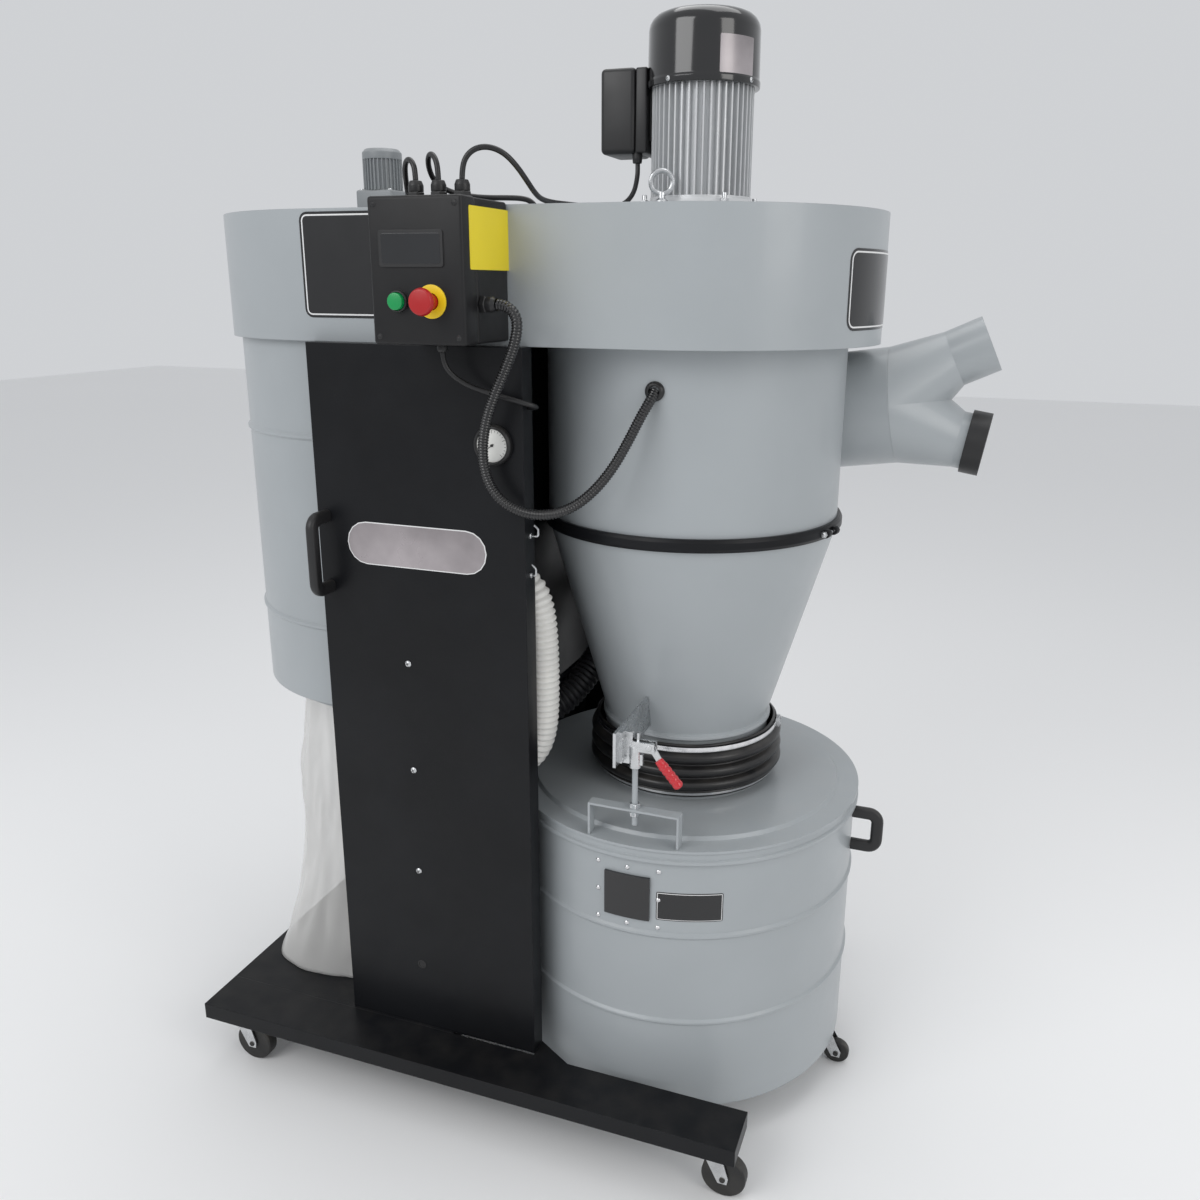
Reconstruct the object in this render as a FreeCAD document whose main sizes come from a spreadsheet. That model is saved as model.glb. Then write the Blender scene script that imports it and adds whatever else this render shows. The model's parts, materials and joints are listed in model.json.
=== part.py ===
import FreeCAD, Part
import math
import os
import re
from FreeCAD import Placement, Rotation, Vector

# A mobile cyclone separator, drawn about the floor under the middle of its wheeled base, then
# moved so that the origin is under the middle of the whole machine. +X runs from the filter
# side to the cyclone side, the front faces -Y and +Z is up.
doc = FreeCAD.newDocument("CycloneSeparator")

# ---- driving dimensions, millimetres and degrees ----
DIMENSIONS = {
    # wheeled base
    "base_length": 1075, "base_width": 876, "base_top": 134, "base_flange": 32, "base_sheet": 3,
    "rail_width": 94, "notch_edge": -36, "caster_inset_x": 53, "caster_inset_y": 47,
    "boss_radius": 21, "boss_bottom": 108,
    # base casters
    "wheel_radius": 39, "wheel_width": 24, "wheel_trail": 27, "axle_radius": 5, "fork_gap": 29,
    "fork_sheet": 3, "race_radius": 20, "race_height": 9,
    # column
    "column_left": -255, "column_right": 133, "column_face": 340, "column_depth": 36,
    "column_sheet": 3, "web_upper": 38, "web_lower": -32, "jog_top": 745, "jog_bottom": 715,
    "spigot_radius": 29, "spigot_length": 16,
    # head
    "cyclone_axis": 313, "filter_axis": -267, "head_radius": 314, "head_bottom": 1414,
    "head_top": 1621, "head_sheet": 4,
    # filter side
    "filter_radius": 300, "filter_bottom": 755, "filter_sheet": 2, "filter_step": 266,
    "bead_height": 12, "bead_rise": 4, "filter_bead_upper": 1250, "filter_bead_lower": 905,
    "bag_radius": 240, "bag_foot": 262, "bag_clear": 6,
    "gear_block": 74, "gear_block_height": 46, "gear_radius": 35, "gear_height": 64,
    "gear_offset": 45,
    # blower motor
    "motor_radius": 84, "motor_top": 1838, "motor_flange": 112, "motor_flange_height": 12,
    "cowl_radius": 93, "cowl_top": 1930, "cowl_lap": 24,
    "capacitor_length": 70, "capacitor_depth": 92, "capacitor_bottom": 1716, "capacitor_top": 1848,
    # cyclone
    "barrel_radius": 261, "barrel_bottom": 1107, "cyclone_sheet": 3, "ring_radius": 270,
    "ring_height": 22, "cone_bottom": 726, "cone_radius": 155, "cone_spigot": 26,
    "cone_bead": 160,
    # inlet
    "duct_radius": 104, "duct_end": 331, "duct_height": 1253, "duct_tilt": 8, "inlet_sheet": 2,
    "branch_reach": 108, "branch_spread": 71, "branch_tilt": 17, "branch_radius": 50,
    "branch_turn": 5, "collar_upper": 66, "collar_lower": 44, "cap_radius": 56, "cap_length": 33,
    # drum joint
    "bellows_radius": 184, "bellows_neck": 166, "bellows_sheet": 4, "lid_radius": 331,
    "lid_top": 606, "lid_skirt": 26, "lid_sheet": 3, "lid_step": 292, "lid_step_height": 6,
    "neck_radius": 158, "neck_top": 650, "lid_lift": 32,
    "strap_half": 81, "strap_width": 22, "strap_top": 660, "strap_sheet": 4, "strap_seat": 310,
    "rod_radius": 5, "rod_top": 752,
    "clamp_plate_sheet": 5, "clamp_plate_front": 346, "clamp_plate_bottom": 745,
    "clamp_plate_top": 806, "clamp_stand": 22, "handle_pivot": 776, "handle_reach": 26,
    "pivot_radius": 3.5,
    # drum
    "drum_radius": 328, "drum_bottom": 80, "drum_top": 590, "drum_sheet": 2,
    "drum_bead_upper": 433, "drum_bead_lower": 259,
    "window_width": 82, "window_height": 82, "window_middle": 501,
    "drum_caster_circle": 305, "drum_wheel_radius": 25, "drum_wheel_width": 16,
    "drum_wheel_trail": 28, "drum_fork_gap": 20, "drum_race_radius": 15,
    # handles, gauge and controls
    "grip_radius": 9, "column_grip_length": 141, "column_grip_reach": 52, "column_grip_middle": 1063,
    "column_grip_inset": 17, "drum_grip_length": 84, "drum_grip_reach": 56,
    "drum_grip_middle": 526, "gauge_radius": 32, "gauge_depth": 14, "gauge_x": 83,
    "gauge_z": 1264, "control_left": -49, "control_width": 151, "control_depth": 146,
    "control_bottom": 1421, "control_height": 204, "control_wall": 2, "button_height": 1482,
    "start_x": -3, "start_radius": 12.5, "start_bezel": 15, "stop_x": 50, "stop_radius": 19.5,
    "stop_ring": 23, "button_travel": 4,
    "gland_radius": 12, "gland_height": 24, "gland_depth": 88,
    # cords
    "conduit_diameter": 17, "hose_diameter": 58, "cable_diameter": 8,
    # clearances
    "curved_gap": 0.3, "running_gap": 0.5,
    # the middle of the whole machine, seen from the middle of its base
    "middle_x": 120, "middle_y": -29,
}

sheet = doc.addObject("Spreadsheet::Sheet", "Dims")
for row, (alias, number) in enumerate(DIMENSIONS.items(), start=1):
    sheet.set("A%d" % row, alias)
    sheet.set("B%d" % row, str(number))
    sheet.setAlias("B%d" % row, alias)
doc.recompute()

WORD = re.compile(r"[a-z][a-z_]+")


def linked(text):
    """The expression with each dimension's name tied to the spreadsheet."""
    return WORD.sub(lambda m: "Dims." + m.group() if m.group() in DIMENSIONS else m.group(), str(text))


def value(text):
    """The number that an expression gives now."""
    return float(sheet.evalExpression(linked(text)))


def bind(target, **expressions):
    for prop, text in expressions.items():
        target.setExpression(prop.replace("__", "."), linked(text))


def place(target, x="0", y="0", z="0", rotation=None):
    """Puts an object at a point given by expressions, with an optional fixed rotation."""
    if rotation is not None:
        target.Placement = Placement(Vector(), rotation)
    target.setExpression("Placement.Base.x", linked(x))
    target.setExpression("Placement.Base.y", linked(y))
    target.setExpression("Placement.Base.z", linked(z))
    return target


ALONG_X = Rotation(Vector(0, 1, 0), 90)
ALONG_MINUS_X = Rotation(Vector(0, 1, 0), -90)
ALONG_Y = Rotation(Vector(1, 0, 0), -90)
ALONG_MINUS_Y = Rotation(Vector(1, 0, 0), 90)


def box(name, x, y, z, length, width, height):
    item = doc.addObject("Part::Box", name)
    bind(item, Length=length, Width=width, Height=height)
    return place(item, x, y, z)


def cylinder(name, radius, height, x="0", y="0", z="0", rotation=None):
    item = doc.addObject("Part::Cylinder", name)
    bind(item, Radius=radius, Height=height)
    return place(item, x, y, z, rotation)


def fused(name, parts):
    item = doc.addObject("Part::MultiFuse", name)
    item.Shapes = parts
    item.Refine = True
    return item


def cut(name, base, tool):
    item = doc.addObject("Part::Cut", name)
    item.Base = base
    item.Tool = tool if not isinstance(tool, list) else fused(name + "Tools", tool)
    item.Refine = True
    return item


NODES = {}


def node(label, item):
    """Registers a finished sub-part under its file's name and moves it to the machine's origin."""
    bound = dict(item.ExpressionEngine)
    for axis, middle in (("x", "middle_x"), ("y", "middle_y")):
        path = "Placement.Base." + axis
        own = bound.get(path, bound.get("." + path, "0"))
        item.setExpression(path, "%s - %s" % (own, linked(middle)))
    item.Label = label
    NODES[label] = item
    return item


def new_body(name):
    return doc.addObject("PartDesign::Body", name)


def new_sketch(body, role, name):
    drawing = body.newObject("Sketcher::SketchObject", name)
    plane = [item for item in body.Origin.OriginFeatures if item.Role == role][0]
    drawing.AttachmentSupport = [(plane, "")]
    drawing.MapMode = "FlatFace"
    return drawing


def tie_point(drawing, edge, end, across, up):
    """Fixes one sketch point at a distance across and up from the sketch's origin."""
    for kind, text in (("DistanceX", across), ("DistanceY", up)):
        number = drawing.addConstraint(Sketcher.Constraint(kind, -1, 1, edge, end, value(text)))
        drawing.setExpression("Constraints[%d]" % number, linked(text))


def outline(drawing, points):
    """A closed outline of straight edges through points given by pairs of expressions."""
    corners = [Vector(value(a), value(b), 0) for a, b in points]
    first = drawing.GeometryCount
    for number, corner in enumerate(corners):
        drawing.addGeometry(Part.LineSegment(corner, corners[(number + 1) % len(corners)]))
    for number in range(len(corners)):
        following = first + (number + 1) % len(corners)
        drawing.addConstraint(Sketcher.Constraint("Coincident", first + number, 2, following, 1))
    for number, (across, up) in enumerate(points):
        tie_point(drawing, first + number, 1, across, up)


def stadium(drawing, left, right, radius):
    """Two half circles about points left and right of the origin, joined by straight sides."""
    a, b, r = value(left), value(right), value(radius)
    first = drawing.GeometryCount
    turn = math.pi / 2
    drawing.addGeometry(Part.ArcOfCircle(Part.Circle(Vector(b, 0), Vector(0, 0, 1), r), -turn, turn))
    drawing.addGeometry(Part.LineSegment(Vector(b, r), Vector(a, r)))
    drawing.addGeometry(Part.ArcOfCircle(Part.Circle(Vector(a, 0), Vector(0, 0, 1), r), turn, 3 * turn))
    drawing.addGeometry(Part.LineSegment(Vector(a, -r), Vector(b, -r)))
    for number in range(4):
        following = first + (number + 1) % 4
        drawing.addConstraint(Sketcher.Constraint("Tangent", first + number, 2, following, 1))
    for edge, across in ((first, right), (first + 2, left)):
        tie_point(drawing, edge, 3, across, "0")
    number = drawing.addConstraint(Sketcher.Constraint("Radius", first, r))
    drawing.setExpression("Constraints[%d]" % number, linked(radius))


def ring_circle(drawing, radius):
    edge = drawing.addGeometry(Part.Circle(Vector(), Vector(0, 0, 1), value(radius)))
    drawing.addConstraint(Sketcher.Constraint("Coincident", edge, 3, -1, 1))
    number = drawing.addConstraint(Sketcher.Constraint("Radius", edge, value(radius)))
    drawing.setExpression("Constraints[%d]" % number, linked(radius))


def padded(body, drawing, length):
    pad = body.newObject("PartDesign::Pad", body.Name + "Pad")
    pad.Profile = drawing
    bind(pad, Length=length)
    drawing.Visibility = False
    return pad


def turned(name, points, x, z="0", y="0"):
    """A body of revolution about its own vertical axis, from (radius, height) expressions."""
    body = new_body(name)
    drawing = new_sketch(body, "XZ_Plane", name + "Profile")
    outline(drawing, points)
    solid = body.newObject("PartDesign::Revolution", name + "Turned")
    solid.Profile = drawing
    solid.ReferenceAxis = (drawing, ["V_Axis"])
    solid.Angle = 360
    place(body, x, y, z)
    return body


import Sketcher

HALF_LENGTH = "base_length / 2"
HALF_WIDTH = "base_width / 2"
RAIL_INNER = "base_width / 2 - rail_width"
UNDER_SHEET = "base_top - base_sheet"
FLANGE_FOOT = "base_top - base_flange"

# ---- base: three folded trays that leave a bay, open to the right, for the drum ----


def tray(name, x, y, length, width):
    """A sheet tray, open underneath, with a flange folded down all round."""
    block = box(name + "Block", x, y, FLANGE_FOOT, length, width, "base_flange")
    hollow = box(name + "Hollow", x + " + base_sheet", y + " + base_sheet", FLANGE_FOOT + " - 1",
                 "%s - 2 * base_sheet" % length, "%s - 2 * base_sheet" % width,
                 "base_flange - base_sheet + 1")
    return cut(name, block, hollow)


CASTERS = {"front_left": (-1, -1), "front_right": (1, -1), "rear_left": (-1, 1), "rear_right": (1, 1)}


def caster_axis(side_x, side_y):
    return ("%d * (base_length / 2 - caster_inset_x)" % side_x,
            "%d * (base_width / 2 - caster_inset_y)" % side_y)


def rail(name, side_y):
    """One long rail with the bosses that its two casters screw into."""
    y = "-base_width / 2" if side_y < 0 else RAIL_INNER
    parts = [tray(name + "Tray", "-base_length / 2", y, "base_length", "rail_width")]
    for side_x in (-1, 1):
        x, centre = caster_axis(side_x, side_y)
        parts.append(cylinder("%sBoss%d" % (name, side_x + 1), "boss_radius",
                              UNDER_SHEET + " - boss_bottom", x, centre, "boss_bottom"))
    if side_y < 0:
        # the small gusset plate between the column's foot and the rail's inner edge
        plate = new_body(name + "Gusset")
        drawing = new_sketch(plate, "XY_Plane", name + "GussetOutline")
        outline(drawing, [("column_right", "-(base_width / 2 - rail_width)"),
                          ("column_right + 68", "-(base_width / 2 - rail_width)"),
                          ("column_right", "-(base_width / 2 - rail_width) + column_depth + 4")])
        padded(plate, drawing, "base_sheet")
        place(plate, "0", "0", UNDER_SHEET)
        parts.append(plate)
    return fused(name, parts)


node("front_rail", rail("FrontRail", -1))
node("rear_rail", rail("RearRail", 1))
node("base_platform", tray("Platform", "-base_length / 2", "-(base_width / 2 - rail_width)",
                           "base_length / 2 + notch_edge", "base_width - 2 * rail_width"))

# ---- casters: a swivelling fork with its race, and the wheel that turns in it ----


def fork(name, x, y, top, wheel_radius, trail, gap, race_radius):
    """A swivel fork about a vertical axis at the origin, its axle trailing towards +X."""
    body = new_body(name)
    drawing = new_sketch(body, "XZ_Plane", name + "Cheek")
    axle = wheel_radius
    shoulder = "%s - race_height" % top
    outline(drawing, [("-(%s) * 0.8" % race_radius, shoulder), (race_radius, shoulder),
                      ("%s + axle_radius + 5" % trail, "%s + 4" % axle),
                      ("%s + axle_radius + 3" % trail, "%s - axle_radius - 3" % axle),
                      ("%s - axle_radius - 3" % trail, "%s - axle_radius - 3" % axle)])
    pad = padded(body, drawing, "%s + 2 * fork_sheet" % gap)
    pad.SideType = "Symmetric"
    slot = box(name + "Slot", "-60", "-(%s) / 2" % gap, "0", "160", gap, shoulder + " - fork_sheet")
    race = cylinder(name + "Race", race_radius, "race_height", "0", "0", shoulder)
    bore = cylinder(name + "Bore", "axle_radius", "90", trail, "-45", axle, ALONG_Y)
    whole = cut(name, fused(name + "Stock", [body, race]), [slot, bore])
    place(whole, x, y, "0")
    return whole


def wheel(name, x, y, radius, width, trail):
    """A solid-tyred wheel whose own axle ends run in the fork's two cheeks."""
    rim = cylinder(name + "Tyre", radius, width, trail, "-(%s) / 2" % width, radius, ALONG_Y)
    rounded = doc.addObject("Part::Fillet", name + "Rounded")
    rounded.Base = rim
    doc.recompute()
    rounded.Edges = [(number + 1, 4.0, 4.0) for number, edge in enumerate(rim.Shape.Edges)
                     if edge.Closed and abs(edge.Length - 2 * math.pi * value(radius)) < 0.01]
    reach = "%s / 2 + 7" % width
    axle = cylinder(name + "Axle", "axle_radius - 0.05", "2 * (%s)" % reach, trail,
                    "-(%s)" % reach, radius, ALONG_Y)
    whole = fused(name, [rounded, axle])
    return place(whole, x, y, "0")


for corner, (side_x, side_y) in CASTERS.items():
    x, y = caster_axis(side_x, side_y)
    title = corner.title().replace("_", "")
    node("caster_fork_" + corner, fork("Fork" + title, x, y, "boss_bottom", "wheel_radius",
                                       "wheel_trail", "fork_gap", "race_radius"))
    node("caster_wheel_" + corner, wheel("Wheel" + title, x, y, "wheel_radius", "wheel_width",
                                         "wheel_trail"))

# ---- column: front and rear channels joined by a jogged web between the two barrels ----


def channel(name, side_y):
    """A folded channel, its flanges turned inwards, standing on the base."""
    face = "column_face" if side_y > 0 else "-column_face"
    width = "column_right - column_left"
    tall = "head_bottom - base_top"
    near = "column_face - column_depth" if side_y > 0 else "-column_face"
    block = box(name + "Block", "column_left", near, "base_top", width, "column_depth", tall)
    inner = near + " - 1" if side_y > 0 else "-column_face + column_sheet"
    hollow = box(name + "Hollow", "column_left + column_sheet", inner, "base_top + column_sheet",
                 width + " - 2 * column_sheet", "column_depth - column_sheet + 1",
                 tall + " - 2 * column_sheet")
    return cut(name, block, hollow)


node("column_front", channel("ColumnFront", -1))
node("column_rear", channel("ColumnRear", 1))

web = new_body("ColumnWebSheet")
drawing = new_sketch(web, "XZ_Plane", "ColumnWebProfile")
outline(drawing, [("web_lower", "base_top"), ("web_lower + column_sheet", "base_top"),
                  ("web_lower + column_sheet", "jog_bottom"),
                  ("web_upper + column_sheet", "jog_top"),
                  ("web_upper + column_sheet", "head_bottom"), ("web_upper", "head_bottom"),
                  ("web_upper", "jog_top + column_sheet"),
                  ("web_lower", "jog_bottom + column_sheet")])
web_pad = padded(web, drawing, "2 * (column_face - column_depth)")
web_pad.SideType = "Symmetric"
# each hose pushes onto a short pipe that stands out of the web
SPIGOTS = {"FrontUpper": ("web_upper", -265, 1030), "FrontLower": ("web_lower", -265, 668),
           "RearUpper": ("web_upper", 240, 905), "RearLower": ("web_lower", -72, 684)}
spigots = [cylinder("Spigot" + title, "spigot_radius", "spigot_length + column_sheet", edge, y, z,
                    ALONG_X) for title, (edge, y, z) in SPIGOTS.items()]
# the web's front and rear edges are carried out to the two channels' faces by narrow tongues
tongues = [box("WebTongueFront", "web_upper", "-(column_face - column_sheet)",
               "jog_top + column_sheet", "column_sheet", "column_depth - column_sheet",
               "head_bottom - jog_top - 2 * column_sheet"),
           box("WebTongueRear", "web_upper", "column_face - column_depth",
               "jog_top + column_sheet", "column_sheet", "column_depth - column_sheet",
               "head_bottom - jog_top - 2 * column_sheet"),
           box("WebFootFront", "web_lower", "-(column_face - column_sheet)",
               "base_top + column_sheet", "column_sheet", "column_depth - column_sheet",
               "jog_bottom - base_top - column_sheet"),
           box("WebFootRear", "web_lower", "column_face - column_depth",
               "base_top + column_sheet", "column_sheet", "column_depth - column_sheet",
               "jog_bottom - base_top - column_sheet")]
node("column_web", fused("ColumnWeb", [web] + spigots + tongues))

# ---- head: a stadium-shaped skirt between a roof and a floor sheet ----


def stadium_body(name, z, height, outer, inner=None):
    body = new_body(name)
    drawing = new_sketch(body, "XY_Plane", name + "Outline")
    stadium(drawing, "filter_axis", "cyclone_axis", outer)
    if inner:
        stadium(drawing, "filter_axis", "cyclone_axis", inner)
    padded(body, drawing, height)
    return place(body, "0", "0", z)


node("housing_skirt", stadium_body("HousingSkirt", "head_bottom", "head_top - head_bottom",
                                   "head_radius", "head_radius - head_sheet"))
INSIDE_SKIRT = "head_radius - head_sheet"
node("housing_roof", stadium_body("HousingRoof", "head_top - head_sheet", "head_sheet", INSIDE_SKIRT))
node("housing_floor", stadium_body("HousingFloor", "head_bottom", "head_sheet", INSIDE_SKIRT))

# ---- filter barrel, its dust bag and the gearmotor that shakes the filter clean ----


def beaded_wall(radius, bottom, top, wall, beads):
    """The (radius, height) outline of a tube wall with half-round beads rolled into it."""
    outer = [(radius, bottom)]
    inner = [("%s - %s" % (radius, wall), bottom)]
    for bead in sorted(beads, key=value):
        for radial, target in ((radius, outer), ("%s - %s" % (radius, wall), inner)):
            target.append((radial, "%s - bead_height / 2" % bead))
            target.append(("%s + bead_rise" % radial, "%s - bead_height / 6" % bead))
            target.append(("%s + bead_rise" % radial, "%s + bead_height / 6" % bead))
            target.append((radial, "%s + bead_height / 2" % bead))
    outer.append((radius, top))
    inner.append(("%s - %s" % (radius, wall), top))
    return outer + inner[::-1]


FILTER_LIP = "filter_bottom - 22"
profile = beaded_wall("filter_radius", "filter_bottom", "head_bottom", "filter_sheet",
                      ["filter_bead_lower", "filter_bead_upper"])
# below its last wall the barrel steps in to the lip that the bag is strapped to
foot = [("filter_radius - filter_sheet", "filter_bottom + filter_sheet"),
        ("filter_step - filter_sheet", "filter_bottom + filter_sheet"),
        ("filter_step - filter_sheet", FILTER_LIP), ("filter_step", FILTER_LIP),
        ("filter_step", "filter_bottom")]
node("filter_barrel", turned("FilterBarrel", profile[:-1] + foot, "filter_axis"))

BAG_NECK = "filter_step - filter_sheet - curved_gap"
bag_round = turned("FilterBagRound", [
    ("0", "base_top"), ("bag_foot", "base_top"), ("bag_foot - 3", "base_top + 20"),
    ("bag_radius + 12", "base_top + 120"), ("bag_radius", "filter_bottom - 120"),
    (BAG_NECK, FILTER_LIP + " - 8"), (BAG_NECK, "filter_bottom - 4"), ("0", "filter_bottom - 4")],
    "filter_axis")
# the web presses the bag's side flat, a little clear of the sheet and of its jog
bag_press = new_body("BagPress")
drawing = new_sketch(bag_press, "XZ_Plane", "BagPressOutline")
outline(drawing, [("web_lower - bag_clear", "base_top - 1"),
                  ("web_lower - bag_clear", "jog_bottom + 2"),
                  ("web_upper - 2 * bag_clear", "jog_top + 3"), ("web_upper + 300", "jog_top + 3"),
                  ("web_upper + 300", "base_top - 1")])
press_pad = padded(bag_press, drawing, "4 * bag_foot")
press_pad.SideType = "Symmetric"
node("filter_bag", cut("FilterBag", bag_round, bag_press))

gear_block = box("GearBlock", "filter_axis - gear_block / 2", "-gear_offset - gear_block / 2",
                 "head_top", "gear_block", "gear_block", "gear_block_height")
gear_can = cylinder("GearCan", "gear_radius", "gear_height", "filter_axis", "-gear_offset - 10",
                    "head_top + gear_block_height")
gear_cover = cylinder("GearCover", "gear_radius - 3", "6", "filter_axis", "-gear_offset - 10",
                      "head_top + gear_block_height + gear_height")
node("gearmotor", fused("Gearmotor", [gear_block, gear_can, gear_cover]))

# ---- blower motor: finned body on a round flange, domed cowl, capacitor box ----
motor_flange = cylinder("MotorFlange", "motor_flange", "motor_flange_height", "cyclone_axis", "0",
                        "head_top")
motor_can = cylinder("MotorCan", "motor_radius", "motor_top - head_top", "cyclone_axis", "0",
                     "head_top")
node("motor_body", fused("MotorBody", [motor_flange, motor_can]))

node("motor_cowl", turned("MotorCowl", [
    ("motor_radius + curved_gap", "motor_top - cowl_lap"), ("cowl_radius", "motor_top - cowl_lap"),
    ("cowl_radius", "cowl_top - 26"), ("cowl_radius - 4", "cowl_top - 13"),
    ("cowl_radius - 13", "cowl_top - 4"), ("cowl_radius - 27", "cowl_top"), ("0", "cowl_top"),
    ("0", "motor_top"), ("motor_radius + curved_gap", "motor_top")], "cyclone_axis"))

CAPACITOR_RIGHT = "cyclone_axis - cowl_radius - 1"
capacitor_case = box("CapacitorCase", CAPACITOR_RIGHT + " - capacitor_length", "-capacitor_depth / 2",
                     "capacitor_bottom", "capacitor_length", "capacitor_depth",
                     "capacitor_top - capacitor_bottom")
capacitor_neck = box("CapacitorNeck", CAPACITOR_RIGHT + " - 2", "-capacitor_depth / 4",
                     "capacitor_bottom + 16", "cowl_radius - motor_radius + 12", "capacitor_depth / 2",
                     "motor_top - cowl_lap - capacitor_bottom - 24")
capacitor_space = cylinder("CapacitorMotorSpace", "motor_radius + curved_gap", "400", "cyclone_axis",
                           "0", "capacitor_bottom - 100")
node("capacitor_box", cut("CapacitorBox", fused("CapacitorStock", [capacitor_case, capacitor_neck]),
                          capacitor_space))

# ---- cyclone barrel, clamp ring, cone ----
DUCT_SIDE = "barrel_radius - duct_radius"
TILT = value("duct_tilt")
duct_rotation = Rotation(Vector(0, 1, 0), 90 - TILT)
barrel_wall = turned("CycloneBarrelWall", [
    ("barrel_radius - cyclone_sheet", "barrel_bottom"), ("barrel_radius", "barrel_bottom"),
    ("barrel_radius", "head_bottom"), ("barrel_radius - cyclone_sheet", "head_bottom")],
    "cyclone_axis")
mouth = cylinder("BarrelMouth", "duct_radius - inlet_sheet", "duct_end / cos(duct_tilt)",
                 "cyclone_axis", DUCT_SIDE, "duct_height", duct_rotation)
mouth.setExpression("Placement.Rotation.Angle", linked("90 - duct_tilt"))
node("cyclone_barrel", cut("CycloneBarrel", barrel_wall, mouth))

node("clamp_ring", turned("ClampRing", [
    ("barrel_radius + curved_gap", "barrel_bottom - ring_height / 2"),
    ("ring_radius - 3", "barrel_bottom - ring_height / 2"),
    ("ring_radius", "barrel_bottom - ring_height / 4"),
    ("ring_radius", "barrel_bottom + ring_height / 4"),
    ("ring_radius - 3", "barrel_bottom + ring_height / 2"),
    ("barrel_radius + curved_gap", "barrel_bottom + ring_height / 2")], "cyclone_axis"))

CONE_FOOT = "cone_bottom - cone_spigot"
node("cyclone_cone", turned("CycloneCone", [
    ("barrel_radius", "barrel_bottom"), ("barrel_radius", "barrel_bottom - ring_height / 2 + 3"),
    ("cone_radius", "cone_bottom + 6"), ("cone_bead", "cone_bottom + 3"),
    ("cone_bead", "cone_bottom - 3"), ("cone_radius", "cone_bottom - 6"), ("cone_radius", CONE_FOOT),
    ("cone_radius - cyclone_sheet", CONE_FOOT), ("cone_radius - cyclone_sheet", "cone_bottom + 6"),
    ("barrel_radius - cyclone_sheet", "barrel_bottom - ring_height / 2 + 3"),
    ("barrel_radius - cyclone_sheet", "barrel_bottom")], "cyclone_axis"))

# ---- inlet: a rising tangential duct, a two-way wye and a cap on the lower branch ----
duct_outer = cylinder("DuctOuter", "duct_radius", "duct_end / cos(duct_tilt)", "cyclone_axis",
                      DUCT_SIDE, "duct_height", duct_rotation)
duct_outer.setExpression("Placement.Rotation.Angle", linked("90 - duct_tilt"))
duct_clear = cylinder("DuctBarrelClearance", "barrel_radius", "head_bottom - barrel_bottom + 40",
                      "cyclone_axis", "0", "barrel_bottom - 20")
duct_bore = cylinder("DuctBore", "duct_radius - inlet_sheet", "duct_end / cos(duct_tilt)",
                     "cyclone_axis", DUCT_SIDE, "duct_height", duct_rotation)
duct_bore.setExpression("Placement.Rotation.Angle", linked("90 - duct_tilt"))
node("inlet_duct", cut("InletDuct", duct_outer, [duct_clear, duct_bore]))

# The wye's own axis is X: it is drawn level at the origin, then tilted and set on the duct's end.


def disc(name, radius, x, y, z, tilt):
    """A circle across the wye's axis, leaned over by a branch's tilt."""
    item = doc.addObject("Part::Circle", name)
    bind(item, Radius=radius)
    item.Placement = Placement(Vector(), Rotation(Vector(0, 1, 0), 90 - value(tilt)))
    item.setExpression("Placement.Rotation.Angle", linked("90 - (%s)" % tilt))
    return place(item, x, y, z)


def loft(name, sections):
    item = doc.addObject("Part::Loft", name)
    item.Sections = sections
    item.Solid = True
    item.Ruled = True
    return item


def branch(name, side, less, collar, lead="0"):
    """One branch: a slanted cone off the duct's full circle and the straight collar after it."""
    tilt = "%d * branch_tilt" % side
    x, z = "branch_reach", "%d * branch_spread" % side
    root = disc(name + "Root", "duct_radius - %s" % less, "-(%s)" % lead, "0", "0", "0")
    waist = disc(name + "Waist", "branch_radius - %s" % less, x, "0", z, tilt)
    run = "(%s + %s)" % (collar, lead)
    end = disc(name + "End", "branch_radius - %s" % less, "%s + %s * cos(%s)" % (x, run, tilt), "0",
               "%s + %s * sin(%s)" % (z, run, tilt), tilt)
    return [loft(name, [root, waist, end])]


outer = branch("UpperOuter", 1, "0", "collar_upper") + branch("LowerOuter", -1, "0", "collar_lower")
inner = (branch("UpperInner", 1, "inlet_sheet", "collar_upper", "0.5")
         + branch("LowerInner", -1, "inlet_sheet", "collar_lower", "0.5"))
wye = cut("InletWye", cut("WyeUpperBore", fused("WyeOuter", outer), inner[0]), inner[1])
wye_rotation = Rotation(Vector(0, 1, 0), -TILT) * Rotation(Vector(1, 0, 0), -value("branch_turn"))
WYE_AT = ("cyclone_axis + duct_end", DUCT_SIDE, "duct_height + duct_end * tan(duct_tilt)")
place(wye, *WYE_AT, rotation=wye_rotation)
node("inlet_wye", wye)

CAP_START = "(collar_lower - cap_length + 3)"
cap_tilt = "-1 * branch_tilt"
cap_can = []
for title, radius, start, stop in (("Outer", "cap_radius", CAP_START, "(collar_lower + 3)"),
                                   ("Inner", "branch_radius + curved_gap", CAP_START,
                                    "(collar_lower + curved_gap)")):
    ends = [disc("Cap%s%d" % (title, number), radius,
                 "branch_reach + %s * cos(branch_tilt)" % run, "0",
                 "-branch_spread - %s * sin(branch_tilt)" % run, cap_tilt)
            for number, run in enumerate((start, stop))]
    cap_can.append(loft("Cap" + title, ends))
cap = cut("InletCap", cap_can[0], cap_can[1])
place(cap, *WYE_AT, rotation=wye_rotation)
node("inlet_cap", cap)

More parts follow.
